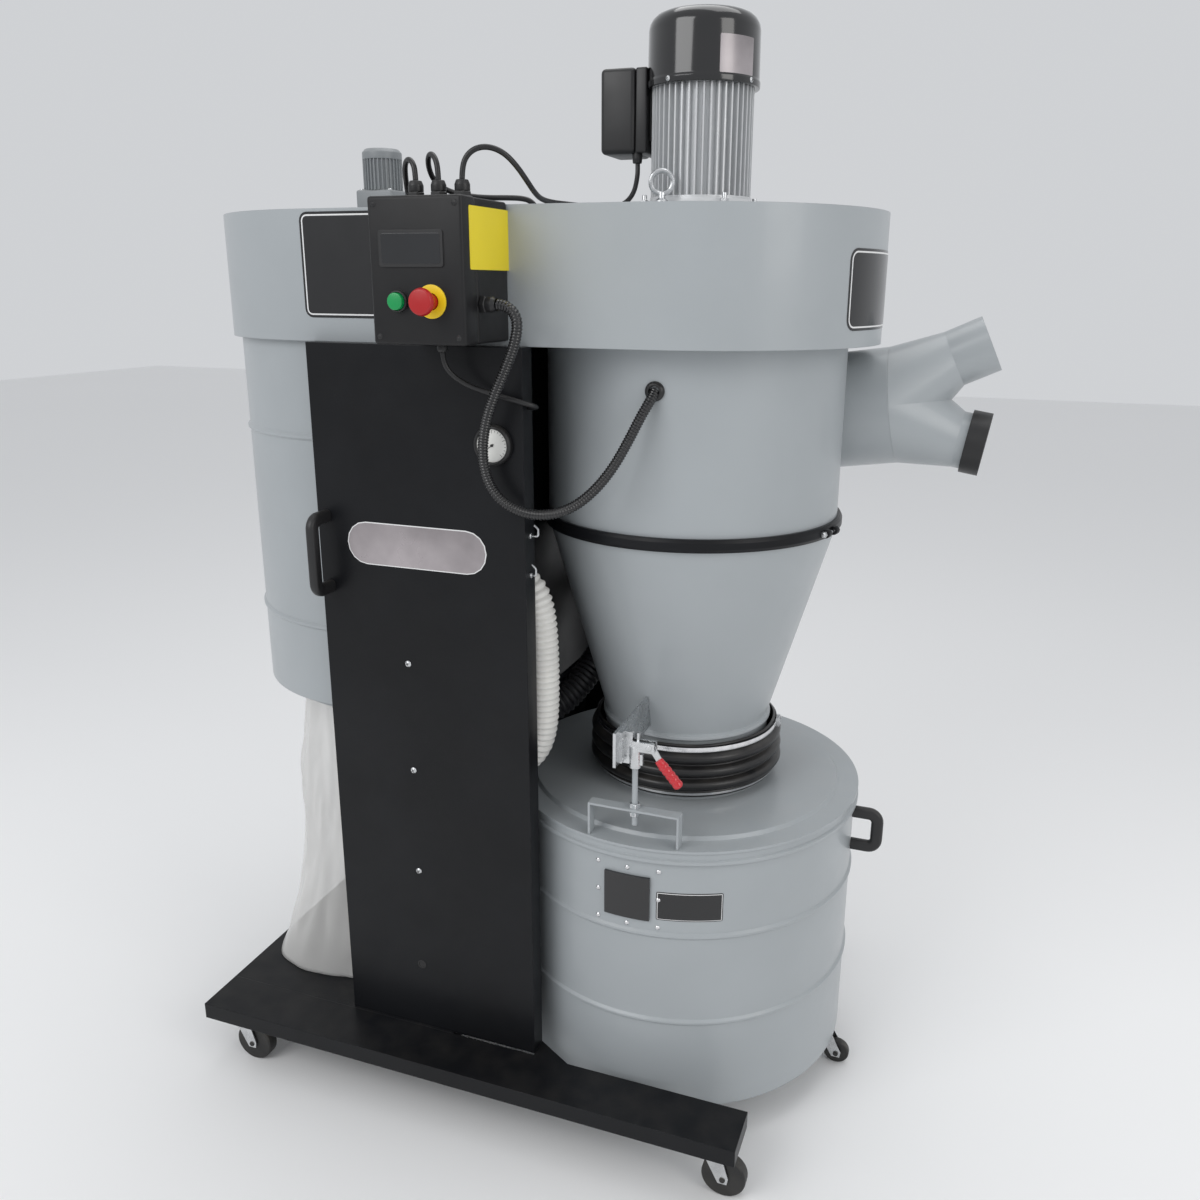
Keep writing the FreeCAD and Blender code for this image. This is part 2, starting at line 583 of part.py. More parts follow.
# ---- drum joint: bellows, lid, lifting brackets and push-pull toggle clamps ----
BELLOWS_TOP = CONE_FOOT + " + cone_spigot - 7"
BELLOWS_FOOT = "lid_top + 10"
folds = 3
wall = []
for number in range(folds):
    low = "(%s + 12) + %d * (%s - 24 - (%s)) / %d" % (BELLOWS_FOOT, number, BELLOWS_TOP,
                                                       BELLOWS_FOOT, folds)
    pitch = "(%s - 24 - (%s)) / %d" % (BELLOWS_TOP, BELLOWS_FOOT, folds)
    wall += [("bellows_neck + 4", "%s + 1" % low), ("bellows_radius", "%s + %s * 0.3" % (low, pitch)),
             ("bellows_radius", "%s + %s * 0.7" % (low, pitch)),
             ("bellows_neck + 4", "%s + %s - 1" % (low, pitch))]
INSIDE = "neck_radius + curved_gap"
node("bellows", turned("Bellows", [(INSIDE, BELLOWS_FOOT), ("bellows_neck", BELLOWS_FOOT)] + wall
                       + [("cone_bead + 6", BELLOWS_TOP + " - 8"), ("cone_bead + 6", BELLOWS_TOP),
                          ("cone_radius + curved_gap", BELLOWS_TOP),
                          ("cone_radius + curved_gap", BELLOWS_TOP + " - 14"),
                          ("bellows_neck - 1", BELLOWS_TOP + " - 18"),
                          ("bellows_neck - 1", "neck_top + 4"), (INSIDE, "neck_top + 1")],
                       "cyclone_axis"))

LID_UNDER = "lid_top - lid_sheet"
lid_plate = turned("LidPlate", [
    ("neck_radius - lid_sheet", LID_UNDER), ("lid_step", LID_UNDER),
    ("lid_step + 5", LID_UNDER + " - lid_step_height"),
    ("drum_radius + curved_gap", LID_UNDER + " - lid_step_height"),
    ("drum_radius + curved_gap", "lid_top - lid_step_height - lid_skirt"),
    ("lid_radius + 4", "lid_top - lid_step_height - lid_skirt"),
    ("lid_radius + 4", "lid_top - lid_step_height - lid_skirt + 6"),
    ("lid_radius", "lid_top - lid_step_height - lid_skirt + 8"),
    ("lid_radius", "lid_top - lid_step_height - 7"),
    ("lid_radius + 3", "lid_top - lid_step_height - 5"),
    ("lid_radius + 3", "lid_top - lid_step_height"),
    ("lid_step + 5", "lid_top - lid_step_height"), ("lid_step", "lid_top"),
    ("neck_radius", "lid_top"), ("neck_radius", "neck_top"),
    ("neck_radius - lid_sheet", "neck_top")], "cyclone_axis")
node("drum_lid", lid_plate)


def lid_bracket(name, side_y):
    """A flat strap bent like a bridge, with the clamp's rod bolted down through it."""
    seat = "lid_top - lid_step_height"
    y = "%d * strap_seat - strap_width / 2" % side_y
    block = box(name + "Block", "-strap_half", y, seat, "2 * strap_half", "strap_width",
                "strap_top - (%s)" % seat)
    gap = box(name + "Gap", "-strap_half + strap_sheet", y + " - 1", seat + " - 1",
              "2 * (strap_half - strap_sheet)", "strap_width + 2", "strap_top - strap_sheet - (%s) + 1" % seat)
    rod = cylinder(name + "Rod", "rod_radius", "rod_top - strap_top + 32", "0",
                   "%d * strap_seat" % side_y, "strap_top - 32")
    nuts = [cylinder("%sNut%d" % (name, number), "rod_radius + 4", "8", "0",
                     "%d * strap_seat" % side_y, base)
            for number, base in enumerate(("strap_top", "strap_top - strap_sheet - 8"))]
    return place(fused(name, [cut(name + "Strap", block, gap), rod] + nuts), "cyclone_axis", "0", "0")


def clamp_stand(name, side_y):
    """The plate welded to the cone and the clamp's body, whose barrel guides the rod."""
    plate = new_body(name + "Plate")
    drawing = new_sketch(plate, "YZ_Plane", name + "PlateOutline")
    reach = "%d * clamp_plate_front" % side_y
    slope = "(barrel_radius - cone_radius) / (barrel_bottom - cone_bottom)"
    low, high = ["%d * (cone_radius + (%s - cone_bottom) * %s - 6)" % (side_y, z, slope)
                 for z in ("clamp_plate_bottom", "clamp_plate_top")]
    outline(drawing, [(reach, "clamp_plate_bottom"), (low, "clamp_plate_bottom"),
                      (high, "clamp_plate_top"), (reach, "clamp_plate_top")])
    padded(plate, drawing, "clamp_plate_sheet")
    place(plate, "-clamp_stand - clamp_plate_sheet", "0", "0")
    y = "%d * strap_seat" % side_y
    guide = cylinder(name + "Guide", "rod_radius + 5", "clamp_plate_top - clamp_plate_bottom - 22", "0", y,
                     "clamp_plate_bottom - 10")
    saddle = box(name + "Saddle", "-clamp_stand", y + " - 16", "clamp_plate_bottom", "4", "32",
                 "clamp_plate_top - clamp_plate_bottom - 6")
    cheek = box(name + "Cheek", "-clamp_stand", y + " - 4", "clamp_plate_bottom - 4", "clamp_stand + 14",
                "8", "clamp_plate_top - clamp_plate_bottom - 4")
    # two ears hold the handle's pivot, with a gap between them for its arm
    lug = box(name + "Lug", "-4", y + " - 9", "handle_pivot - 9", "handle_reach + 13", "18", "17")
    bore = cylinder(name + "Bore", "rod_radius + running_gap", "120", "0", y, "clamp_plate_bottom - 40")
    pocket = box(name + "Pocket", "handle_reach - 18", y + " - 4", "handle_pivot - 16", "60", "8", "40")
    pin_bore = cylinder(name + "PinBore", "pivot_radius + 0.05", "40", "handle_reach", y + " - 20",
                        "handle_pivot", ALONG_Y)
    cone = doc.addObject("Part::Cone", name + "ConeSpace")
    bind(cone, Radius1="cone_radius + curved_gap", Radius2="barrel_radius + curved_gap",
         Height="barrel_bottom - ring_height / 2 - 3 - cone_bottom")
    place(cone, "0", "0", "cone_bottom + 6")
    whole = cut(name, fused(name + "Stock", [plate, guide, saddle, cheek, lug]),
                [bore, pocket, pin_bore, cone])
    return place(whole, "cyclone_axis", "0", "0")


def clamp_handle(name, side_y):
    """The hand lever: a flat arm with a padded grip, on a pivot beside the rod's top."""
    y = "%d * strap_seat" % side_y
    arm = new_body(name + "Arm")
    drawing = new_sketch(arm, "XZ_Plane", name + "ArmOutline")
    outline(drawing, [("-5", "6"), ("6", "6"), ("40", "-24"), ("33", "-32"), ("-5", "-5")])
    pad = padded(arm, drawing, "5")
    pad.SideType = "Symmetric"
    pivot = cylinder(name + "Pivot", "pivot_radius", "20", "0", "-10", "0", ALONG_Y)
    grip = cylinder(name + "Grip", "8.5", "62", "30", "0", "-22", Rotation(Vector(0, 1, 0), 135))
    return place(fused(name, [arm, pivot, grip]), "cyclone_axis + handle_reach", y, "handle_pivot")


for title, side_y in (("front", -1), ("rear", 1)):
    node("lid_bracket_" + title, lid_bracket("LidBracket" + title.title(), side_y))
    node("clamp_" + title, clamp_stand("Clamp" + title.title(), side_y))
    node("clamp_handle_" + title, clamp_handle("ClampHandle" + title.title(), side_y))

# ---- collecting drum: beaded wall with a flat bottom, window, handle and four casters ----
profile = beaded_wall("drum_radius", "drum_bottom", "drum_top", "drum_sheet",
                      ["drum_bead_lower", "drum_bead_upper"])
floor_sheet = [("drum_radius - drum_sheet", "drum_bottom + 4"), ("0", "drum_bottom + 4"),
               ("0", "drum_bottom")]
node("drum_shell", turned("DrumShell", profile[:-1] + floor_sheet, "cyclone_axis"))

pane_outer = cylinder("WindowOuter", "drum_radius + 5", "window_height", "cyclone_axis", "0",
                      "window_middle - window_height / 2")
pane_inner = cylinder("WindowInner", "drum_radius + curved_gap", "window_height + 2", "cyclone_axis",
                      "0", "window_middle - window_height / 2 - 1")
pane_field = box("WindowField", "cyclone_axis - window_width / 2 - 6", "-drum_radius - 20",
                 "window_middle - window_height / 2", "window_width", "60", "window_height")
pane = doc.addObject("Part::Common", "DrumWindow")
pane.Base = cut("WindowBand", pane_outer, pane_inner)
pane.Tool = pane_field
node("drum_window", pane)


def grip(name, length, reach, seat_depth):
    """A bow handle: two arms and a bar in the XZ plane, reaching out towards +X from the origin."""
    bar = box(name + "Bar", "%s - 2 * grip_radius" % reach, "-grip_radius", "-(%s) / 2" % length,
              "2 * grip_radius", "2 * grip_radius", length)
    arms = [box("%sArm%d" % (name, number), "-(%s)" % seat_depth, "-grip_radius - 3", z,
                "%s + %s - grip_radius" % (reach, seat_depth), "2 * grip_radius + 6", "20")
            for number, z in enumerate(("-(%s) / 2" % length, "%s / 2 - 20" % length))]
    whole = fused(name + "Bow", [bar] + arms)
    rounded = doc.addObject("Part::Chamfer", name)
    rounded.Base = whole
    doc.recompute()
    reach_now = value(reach)
    rounded.Edges = [(number + 1, 4.0, 4.0) for number, edge in enumerate(whole.Shape.Edges)
                     if edge.BoundBox.XMin > reach_now - 1 and edge.BoundBox.YLength < 0.1]
    return rounded


drum_grip = grip("DrumGrip", "drum_grip_length", "drum_grip_reach", "4")
place(drum_grip, "cyclone_axis + drum_radius", "0", "drum_grip_middle")
drum_space = cylinder("DrumGripSeat", "drum_radius + curved_gap", "400", "cyclone_axis", "0",
                      "drum_grip_middle - 200")
node("drum_handle", cut("DrumHandle", drum_grip, drum_space))

column_grip = grip("ColumnGrip", "column_grip_length", "column_grip_reach", "0")
place(column_grip, "column_left + column_grip_inset", "-column_face", "column_grip_middle",
      Rotation(Vector(0, 0, 1), -90))
node("column_handle", column_grip)

DRUM_CASTERS = {"right": 0, "rear": 90, "left": 180, "front": 270}
for title, angle in DRUM_CASTERS.items():
    x = "cyclone_axis + drum_caster_circle * cos(%d)" % angle
    y = "drum_caster_circle * sin(%d)" % angle
    node("drum_fork_" + title, fork("DrumFork" + title.title(), x, y, "drum_bottom",
                                    "drum_wheel_radius", "drum_wheel_trail", "drum_fork_gap",
                                    "drum_race_radius"))
    node("drum_wheel_" + title, wheel("DrumWheel" + title.title(), x, y, "drum_wheel_radius",
                                      "drum_wheel_width", "drum_wheel_trail"))

# ---- gauge, control box and its two buttons ----
node("gauge", cylinder("Gauge", "gauge_radius", "gauge_depth", "gauge_x", "-column_face", "gauge_z",
                       ALONG_MINUS_Y))

CONTROL_FACE = "-head_radius - control_depth"
case = box("ControlCase", "control_left", CONTROL_FACE, "control_bottom", "control_width",
           "control_depth", "control_height")
start_well = cylinder("StartWell", "start_radius + running_gap", "30", "start_x", CONTROL_FACE + " - 20",
                      "button_height", ALONG_Y)
stop_well = cylinder("StopWell", "11 + running_gap", "40", "stop_x", CONTROL_FACE + " - 20",
                     "button_height", ALONG_Y)
start_bezel = cylinder("StartBezel", "start_bezel", "8", "start_x", CONTROL_FACE, "button_height",
                       ALONG_MINUS_Y)
stop_ring = cylinder("StopRing", "stop_ring", "3", "stop_x", CONTROL_FACE, "button_height",
                     ALONG_MINUS_Y)
GLANDS = (-1, 36, 74)
top_glands = [cylinder("TopGland%d" % number, "gland_radius", "gland_height", x,
                       "-head_radius - gland_depth", "control_bottom + control_height")
              for number, x in enumerate(GLANDS)]
CONTROL_RIGHT = "control_left + control_width"
side_gland = cylinder("SideGland", "gland_radius", "23", CONTROL_RIGHT, "-head_radius - 91", "1478",
                      ALONG_X)
low_gland = cylinder("LowGland", "gland_radius - 4", "14", "22", "-head_radius - 70",
                     "control_bottom - 14")
node("control_box", cut("ControlBox", fused("ControlStock", [case, start_bezel, stop_ring, side_gland,
                                                            low_gland] + top_glands),
                        [start_well, stop_well]))

node("start_button", cylinder("StartButton", "start_radius", "20", "start_x", CONTROL_FACE + " + 6",
                              "button_height", ALONG_MINUS_Y))
stop_stem = cylinder("StopStem", "11", "34", "stop_x", CONTROL_FACE + " + 8", "button_height",
                     ALONG_MINUS_Y)
stop_head = cylinder("StopHead", "stop_radius", "15", "stop_x", CONTROL_FACE + " - 22",
                     "button_height", ALONG_MINUS_Y)
node("stop_button", fused("StopButton", [stop_stem, stop_head]))

# ---- cords: each is straight runs joined by tangent arcs along a route of its own ----


def rounded_path(points):
    """Straight runs through the points, each corner turned by an arc as large as its runs allow."""
    edges = []
    radii = []
    corner_from = points[0]
    for before, corner, after in zip(points, points[1:], points[2:]):
        back = before - corner
        ahead = after - corner
        turn = math.pi - back.getAngle(ahead)
        set_back = 0.45 * min(back.Length, ahead.Length)
        radii.append(set_back / math.tan(turn / 2))
        start = corner + back.normalize() * set_back
        end = corner + ahead.normalize() * set_back
        bisector = (back + ahead).normalize()
        centre = corner + bisector * (radii[-1] / math.cos(turn / 2))
        middle = centre - bisector * radii[-1]
        edges.append(Part.LineSegment(corner_from, start).toShape())
        edges.append(Part.Arc(start, middle, end).toShape())
        corner_from = end
    edges.append(Part.LineSegment(corner_from, points[-1]).toShape())
    return Part.Wire(edges), radii


def cord(label, diameter, route):
    points = [Vector(*point) for point in route]
    path, radii = rounded_path(points)
    size = value(diameter)
    ring = Part.Circle(points[0], points[1] - points[0], size / 2).toShape()
    solid = path.makePipeShell([Part.Wire(ring)], True, False)
    expected = math.pi * size * size / 4 * path.Length
    print("%s: length %.0f, smallest radius %.0f (%.1f diameters), volume %.4f of the expected"
          % (label, path.Length, min(radii), min(radii) / size, solid.Volume / expected))
    item = doc.addObject("Part::Feature", label.title().replace("_", ""))
    item.Shape = solid
    return node(label, item)


cord("conduit", "conduit_diameter", [
    (125, -405, 1478), (136, -405, 1477), (146, -404.5, 1472.5), (153, -403.5, 1464),
    (155.5, -402, 1453), (153, -399.5, 1437), (145, -396, 1415), (130, -391.5, 1386),
    (111, -387, 1352), (94, -383, 1316), (83, -379, 1278), (80, -375, 1240), (88, -371, 1204),
    (110, -367.5, 1177), (146, -363, 1162), (186, -356, 1162), (224, -346, 1178),
    (254, -334, 1206), (277, -320, 1240), (294, -305, 1277), (308, -289, 1313),
    (319, -275.5, 1337), (321, -261.2, 1349)])
cord("hose_front", "hose_diameter", [
    (57, -265, 1030), (86, -265, 1026.5), (110, -265.5, 1008), (122, -266, 976), (127, -266, 928),
    (128.5, -266, 868), (128, -266, 808), (124, -266, 756), (110, -266, 716), (80, -265.5, 688),
    (36, -265, 673), (-13, -265, 668)])
cord("hose_rear", "hose_diameter", [
    (57, 240, 905), (83, 239.5, 904), (109, 229, 898), (127, 208, 886), (133, 174, 864),
    (126, 130, 835), (116, 84, 803), (104, 38, 769), (88, -6, 736), (64, -42, 708),
    (28, -64, 691), (-13, -72, 684)])
cord("cable_motor", "cable_diameter", [
    (74, -402, 1649), (74.5, -401.5, 1665), (81, -399.5, 1681), (95, -395, 1691), (113, -388, 1692),
    (130, -378, 1684), (142, -364, 1668), (149, -346, 1650), (150, -322, 1636), (147, -292, 1629),
    (147, -256, 1627), (154, -214, 1627), (167, -168, 1627), (184, -122, 1627), (202, -80, 1632),
    (211, -50, 1652), (212, -34, 1680), (211, -30, 1700), (210, -30, 1716)])
cord("cable_gearmotor", "cable_diameter", [
    (-1, -402, 1649), (-1.5, -401.5, 1663), (-6.5, -399, 1674), (-15, -394, 1679), (-24, -387, 1677),
    (-31, -379, 1669.5), (-36, -370, 1658.5), (-42, -358, 1647.5), (-52, -339, 1638.5),
    (-68, -310, 1632), (-92, -276, 1628), (-122, -240, 1627), (-156, -204, 1627), (-190, -168, 1629),
    (-218, -136, 1633), (-236, -110, 1638), (-243, -91, 1640), (-245, -82.4, 1640)])
cord("cable_roof", "cable_diameter", [
    (36, -402, 1649), (35.5, -401.5, 1664), (31, -398.5, 1677), (23, -393, 1684.5),
    (14, -386, 1685), (7, -378, 1678), (4, -370, 1666.5), (5, -360, 1653.5), (11, -345, 1643),
    (23, -326, 1636.5), (42, -310, 1633), (66, -301, 1631.5), (92, -295, 1631.5), (113, -289, 1631),
    (127, -284, 1627.5), (132, -282, 1621)])
cord("cable_below", "cable_diameter", [
    (22, -384, 1407), (22.5, -383, 1393), (28, -379, 1379), (40, -373, 1366.5), (57, -366, 1356),
    (79, -359, 1348), (103, -354, 1341), (124, -351, 1336), (141, -346, 1331), (151, -337, 1327),
    (151, -327, 1324), (143, -321.5, 1322.5), (133, -320, 1322)])

# ---- checks and output ----
doc.recompute()
for item in doc.Objects:
    if "Invalid" in item.State or "Error" in item.State:
        raise RuntimeError("%s did not compute: %s" % (item.Name, item.State))
for label, item in NODES.items():
    shape = item.Shape
    if shape.isNull() or not shape.isValid():
        raise RuntimeError("%s has no valid shape" % label)
    if len(shape.Solids) != 1:
        raise RuntimeError("%s has %d solids" % (label, len(shape.Solids)))

os.makedirs("parts", exist_ok=True)
for label, item in NODES.items():
    item.Shape.exportStep("parts/%s.step" % label)
total = sum(item.Shape.Volume for item in NODES.values())
print("%d nodes, %.4f cubic metres of solid" % (len(NODES), total / 1e9))
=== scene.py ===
import json
import math

import bmesh
import bpy
from mathutils import Matrix, Vector, noise

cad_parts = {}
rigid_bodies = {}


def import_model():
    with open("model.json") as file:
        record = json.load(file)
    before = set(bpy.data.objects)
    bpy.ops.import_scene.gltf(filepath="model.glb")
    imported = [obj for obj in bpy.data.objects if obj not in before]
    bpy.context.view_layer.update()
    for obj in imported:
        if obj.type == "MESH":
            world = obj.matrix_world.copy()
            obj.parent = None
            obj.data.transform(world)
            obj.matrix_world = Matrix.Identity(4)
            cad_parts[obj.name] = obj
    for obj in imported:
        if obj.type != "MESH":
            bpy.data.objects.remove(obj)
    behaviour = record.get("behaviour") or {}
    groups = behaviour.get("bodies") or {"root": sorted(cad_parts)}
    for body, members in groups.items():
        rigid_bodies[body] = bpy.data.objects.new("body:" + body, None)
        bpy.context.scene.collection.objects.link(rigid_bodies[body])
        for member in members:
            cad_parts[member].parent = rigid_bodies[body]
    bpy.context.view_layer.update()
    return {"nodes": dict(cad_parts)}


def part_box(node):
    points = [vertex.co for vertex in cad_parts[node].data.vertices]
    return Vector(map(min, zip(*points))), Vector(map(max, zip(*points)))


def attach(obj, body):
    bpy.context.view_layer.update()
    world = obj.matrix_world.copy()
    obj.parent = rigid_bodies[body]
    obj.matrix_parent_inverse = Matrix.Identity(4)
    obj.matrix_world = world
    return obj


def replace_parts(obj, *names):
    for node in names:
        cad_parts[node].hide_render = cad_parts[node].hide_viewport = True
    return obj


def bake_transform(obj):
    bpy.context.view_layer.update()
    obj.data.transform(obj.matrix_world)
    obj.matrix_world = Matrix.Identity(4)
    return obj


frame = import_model()
scene = bpy.context.scene


def middle(node):
    low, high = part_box(node)
    return (Vector(low) + Vector(high)) / 2


def low(node):
    return Vector(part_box(node)[0])


def high(node):
    return Vector(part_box(node)[1])


CYCLONE = middle("housing_roof").copy()
CYCLONE.x = middle("clamp_ring").x
FILTER = CYCLONE.copy()
FILTER.x = middle("filter_barrel").x
MID_Y = CYCLONE.y
HEAD_TOP = high("housing_skirt").z
HEAD_RADIUS = high("housing_skirt").y - MID_Y
COLUMN_FACE = low("column_front").y
PANEL_RIGHT = high("column_front").x
FRONT = (0, -1, 0)
UP = (0, 0, 1)

# ---- camera, stage and light


LENS = 31.46
LENS_SHIFT = (-0.011, -0.007)
CAMERA_PLACE = (0.697, -1.796, 1.508)
CAMERA_FORWARD = (-0.3247, 0.9029, -0.2817)
CAMERA_ROLL = 0.34  # degrees
FLOOR_REACH = 14.0


def linked(name, data):
    """A new object in the scene."""
    item = bpy.data.objects.new(name, data)
    scene.collection.objects.link(item)
    return item


def fill(tree, node, inputs):
    """Each input takes a link if it is given a socket, and otherwise holds the value."""
    for key, value in inputs.items():
        if isinstance(value, bpy.types.NodeSocket):
            tree.links.new(value, node.inputs[key])
        else:
            node.inputs[key].default_value = value


def add(tree, kind, inputs, **settings):
    """A new shader node."""
    made = tree.nodes.new("ShaderNode" + kind)
    for label, value in settings.items():
        setattr(made, label, value)
    fill(tree, made, inputs)
    return made


def camera():
    data = bpy.data.cameras.new("Camera")
    data.lens = LENS
    data.shift_x, data.shift_y = LENS_SHIFT
    data.dof.use_dof = False
    view = linked("Camera", data)
    forward = Vector(CAMERA_FORWARD).normalized()
    turn = forward.to_track_quat("-Z", "Y").to_matrix().to_4x4()
    view.matrix_world = (Matrix.Translation(CAMERA_PLACE) @ turn
                         @ Matrix.Rotation(math.radians(CAMERA_ROLL), 4, "Z"))
    scene.camera = view


def area_light(name, place, target, size, power, colour=(1, 1, 1)):
    data = bpy.data.lights.new(name, "AREA")
    data.shape = "RECTANGLE"
    data.size, data.size_y = size
    data.energy = power
    data.color = colour
    lamp = linked(name, data)
    lamp.location = place
    lamp.rotation_euler = (Vector(target) - Vector(place)).to_track_quat("-Z", "Y").to_euler()


def stage():
    mesh = bpy.data.meshes.new("Floor")
    corners = [(across * FLOOR_REACH, along * FLOOR_REACH, 0)
               for across, along in ((-1, -1), (1, -1), (1, 1), (-1, 1))]
    mesh.from_pydata(corners, [], [(0, 1, 2, 3)])
    floor = linked("Floor", mesh)
    paper = bpy.data.materials.new("FloorPaper")
    paper.use_nodes = True
    tree = paper.node_tree
    speckle = add(tree, "TexNoise", {"Scale": 3.0}).outputs["Fac"]
    tone = add(tree, "MapRange", {"Value": speckle, "To Min": 0.86, "To Max": 0.9})
    fill(tree, tree.nodes["Principled BSDF"],
         {"Base Color": tone.outputs["Result"], "Roughness": 0.75})
    mesh.materials.append(paper)
    world = bpy.data.worlds.new("Studio")
    world.use_nodes = True
    sky = world.node_tree.nodes["Background"]
    sky.inputs["Color"].default_value = (0.95, 0.97, 1.0, 1)
    sky.inputs["Strength"].default_value = 0.66
    scene.world = world
    area_light("Key", (-1.6, -3.4, 3.4), (0, 0, 1.0), (2.6, 2.2), 58)
    area_light("Side", (3.4, -1.6, 2.6), (0.1, 0, 1.0), (1.6, 2.4), 30, (1.0, 0.98, 0.95))
    area_light("Top", (0.2, 0.6, 4.2), (0, 0, 1.2), (3.0, 2.0), 34)
    scene.view_settings.view_transform = "Standard"


camera()
stage()

# ---- materials


DUST = (0.52, 0.47, 0.4)


def surface(name, colour, roughness, metallic=0.0, coat=0.0, grain=0.0, grain_size=600.0,
            mottle=0.06, mottle_size=5.0, dust=0.0, wear=0.0, wear_colour=(0.5, 0.5, 0.5),
            edge=0.0012, shine=0.5):
    """A layered finish: tone drift, uneven gloss, surface grain, soft edges, edge wear and dust."""
    made = bpy.data.materials.new(name)
    made.use_nodes = True
    tree = made.node_tree
    where = add(tree, "TexCoord", {}).outputs["Object"]

    def noise_at(scale, detail=4.0):
        found = add(tree, "TexNoise", {"Scale": scale, "Detail": detail, "Vector": where})
        return found.outputs["Fac"]

    def ranged(source, from_low, from_high, to_low, to_high):
        found = add(tree, "MapRange", {"From Min": from_low, "From Max": from_high,
                                       "To Min": to_low, "To Max": to_high, "Value": source})
        return found.outputs["Result"]

    def mixed(factor, first, second):
        first, second = [(*given, 1) if isinstance(given, tuple) else given
                         for given in (first, second)]
        found = add(tree, "Mix", {"Factor": factor, "A": first, "B": second}, data_type="RGBA")
        return found.outputs["Result"]

    def product(first, second):
        return add(tree, "Math", {0: first, 1: second}, operation="MULTIPLY").outputs["Value"]

    darker = tuple(channel * (1 - mottle) for channel in colour)
    lighter = tuple(min(1, channel * (1 + mottle)) for channel in colour)
    tone = mixed(ranged(noise_at(mottle_size), 0.35, 0.65, 0, 1), darker, lighter)
    gloss = ranged(noise_at(mottle_size * 3), 0.3, 0.7, roughness * 0.88, roughness * 1.14)
    facing = add(tree, "NewGeometry", {}).outputs["Normal"]
    normal = add(tree, "Bevel", {"Radius": edge}, samples=6).outputs["Normal"]
    if wear:
        bend = add(tree, "VectorMath", {0: normal, 1: facing}, operation="DOT_PRODUCT")
        edges = ranged(bend.outputs["Value"], 0.995, 0.9, 0, wear)
        tone = mixed(product(edges, ranged(noise_at(60), 0.5, 0.62, 0, 1)), tone, wear_colour)
    if dust:
        parts = add(tree, "SeparateXYZ", {"Vector": facing})
        settled = product(ranged(parts.outputs["Z"], 0.2, 1.0, 0.12, 1),
                          ranged(noise_at(24, 8.0), 0.35, 0.75, 0, dust))
        tone = mixed(settled, tone, DUST)
    if grain:
        normal = add(tree, "Bump", {"Strength": grain, "Distance": 0.0004,
                                    "Height": noise_at(grain_size, 2.0),
                                    "Normal": normal}).outputs["Normal"]
    fill(tree, tree.nodes["Principled BSDF"], {
        "Metallic": metallic, "Coat Weight": coat, "Coat Roughness": 0.12,
        "Specular IOR Level": shine, "Base Color": tone, "Roughness": gloss, "Normal": normal})
    return made


def film():
    """Thin translucent polythene: clearer face on, whiter and glossier where it turns away."""
    made = surface("BagFilm", (0.83, 0.82, 0.8), 0.2, grain=0.5, grain_size=55, mottle=0.04)
    tree = made.node_tree
    turned_away = add(tree, "LayerWeight", {"Blend": 0.35}).outputs["Facing"]
    cover = add(tree, "MapRange", {"To Min": 0.34, "To Max": 0.9, "Value": turned_away})
    fill(tree, tree.nodes["Principled BSDF"], {"Alpha": cover.outputs["Result"]})
    return made


GREY = surface("GreyPaint", (0.365, 0.392, 0.408), 0.34, coat=0.15, grain=0.22, grain_size=420,
               mottle=0.025, dust=0.06, wear=0.25, wear_colour=(0.6, 0.6, 0.6), edge=0.002)
BLACK = surface("BlackPaint", (0.0065, 0.007, 0.0085), 0.34, shine=0.22, grain=0.35, grain_size=420,
                mottle=0.2, dust=0.018, wear=0.3, wear_colour=(0.05, 0.05, 0.055), edge=0.002)
PLASTIC = surface("BlackPlastic", (0.012, 0.012, 0.013), 0.42, grain=0.25, grain_size=900,
                  dust=0.04)
GLOSS = surface("GlossBlack", (0.006, 0.006, 0.007), 0.12, coat=0.6, grain=0.05, grain_size=200,
                dust=0.02)
ZINC = surface("ZincPlate", (0.62, 0.63, 0.64), 0.27, metallic=1.0, grain=0.3, grain_size=500,
               mottle=0.14, mottle_size=30, wear=0.2, wear_colour=(0.9, 0.9, 0.9), edge=0.0006)
STEEL = surface("BrightSteel", (0.7, 0.7, 0.71), 0.2, metallic=1.0, grain=0.15, mottle=0.08,
                mottle_size=80, edge=0.0004)
SILVER = surface("SilverCasting", (0.6, 0.61, 0.62), 0.4, metallic=0.35, grain=0.5, grain_size=700,
                 mottle=0.05, dust=0.05, edge=0.0008)
TYRE = surface("WheelTread", (0.012, 0.012, 0.012), 0.5, grain=0.5, grain_size=300, dust=0.35,
               wear=0.5, wear_colour=(0.08, 0.08, 0.075), edge=0.001)
RUBBER = surface("BellowsRubber", (0.009, 0.009, 0.01), 0.33, grain=0.3, grain_size=250, dust=0.08,
                 edge=0.0015)
RED = surface("DippedRed", (0.55, 0.012, 0.022), 0.24, coat=0.5, grain=0.15, grain_size=200,
              mottle=0.1, edge=0.001)
RED_BUTTON = surface("RedButton", (0.42, 0.006, 0.008), 0.36, coat=0.1, grain=0.1, edge=0.0008)
GREEN_BUTTON = surface("GreenButton", (0.0, 0.3, 0.075), 0.3, coat=0.2, grain=0.1, edge=0.0008)
YELLOW = surface("YellowPlastic", (0.86, 0.6, 0.01), 0.35, grain=0.1, edge=0.0006)
LABEL_YELLOW = surface("YellowFoil", (0.82, 0.66, 0.02), 0.32, mottle=0.03, edge=0.0002)
LABEL_BLACK = surface("BlackFoil", (0.006, 0.006, 0.007), 0.22, coat=0.3, mottle=0.1, edge=0.0002)
LABEL_WHITE = surface("WhiteFoil", (0.78, 0.78, 0.78), 0.35, mottle=0.02, edge=0.0002)
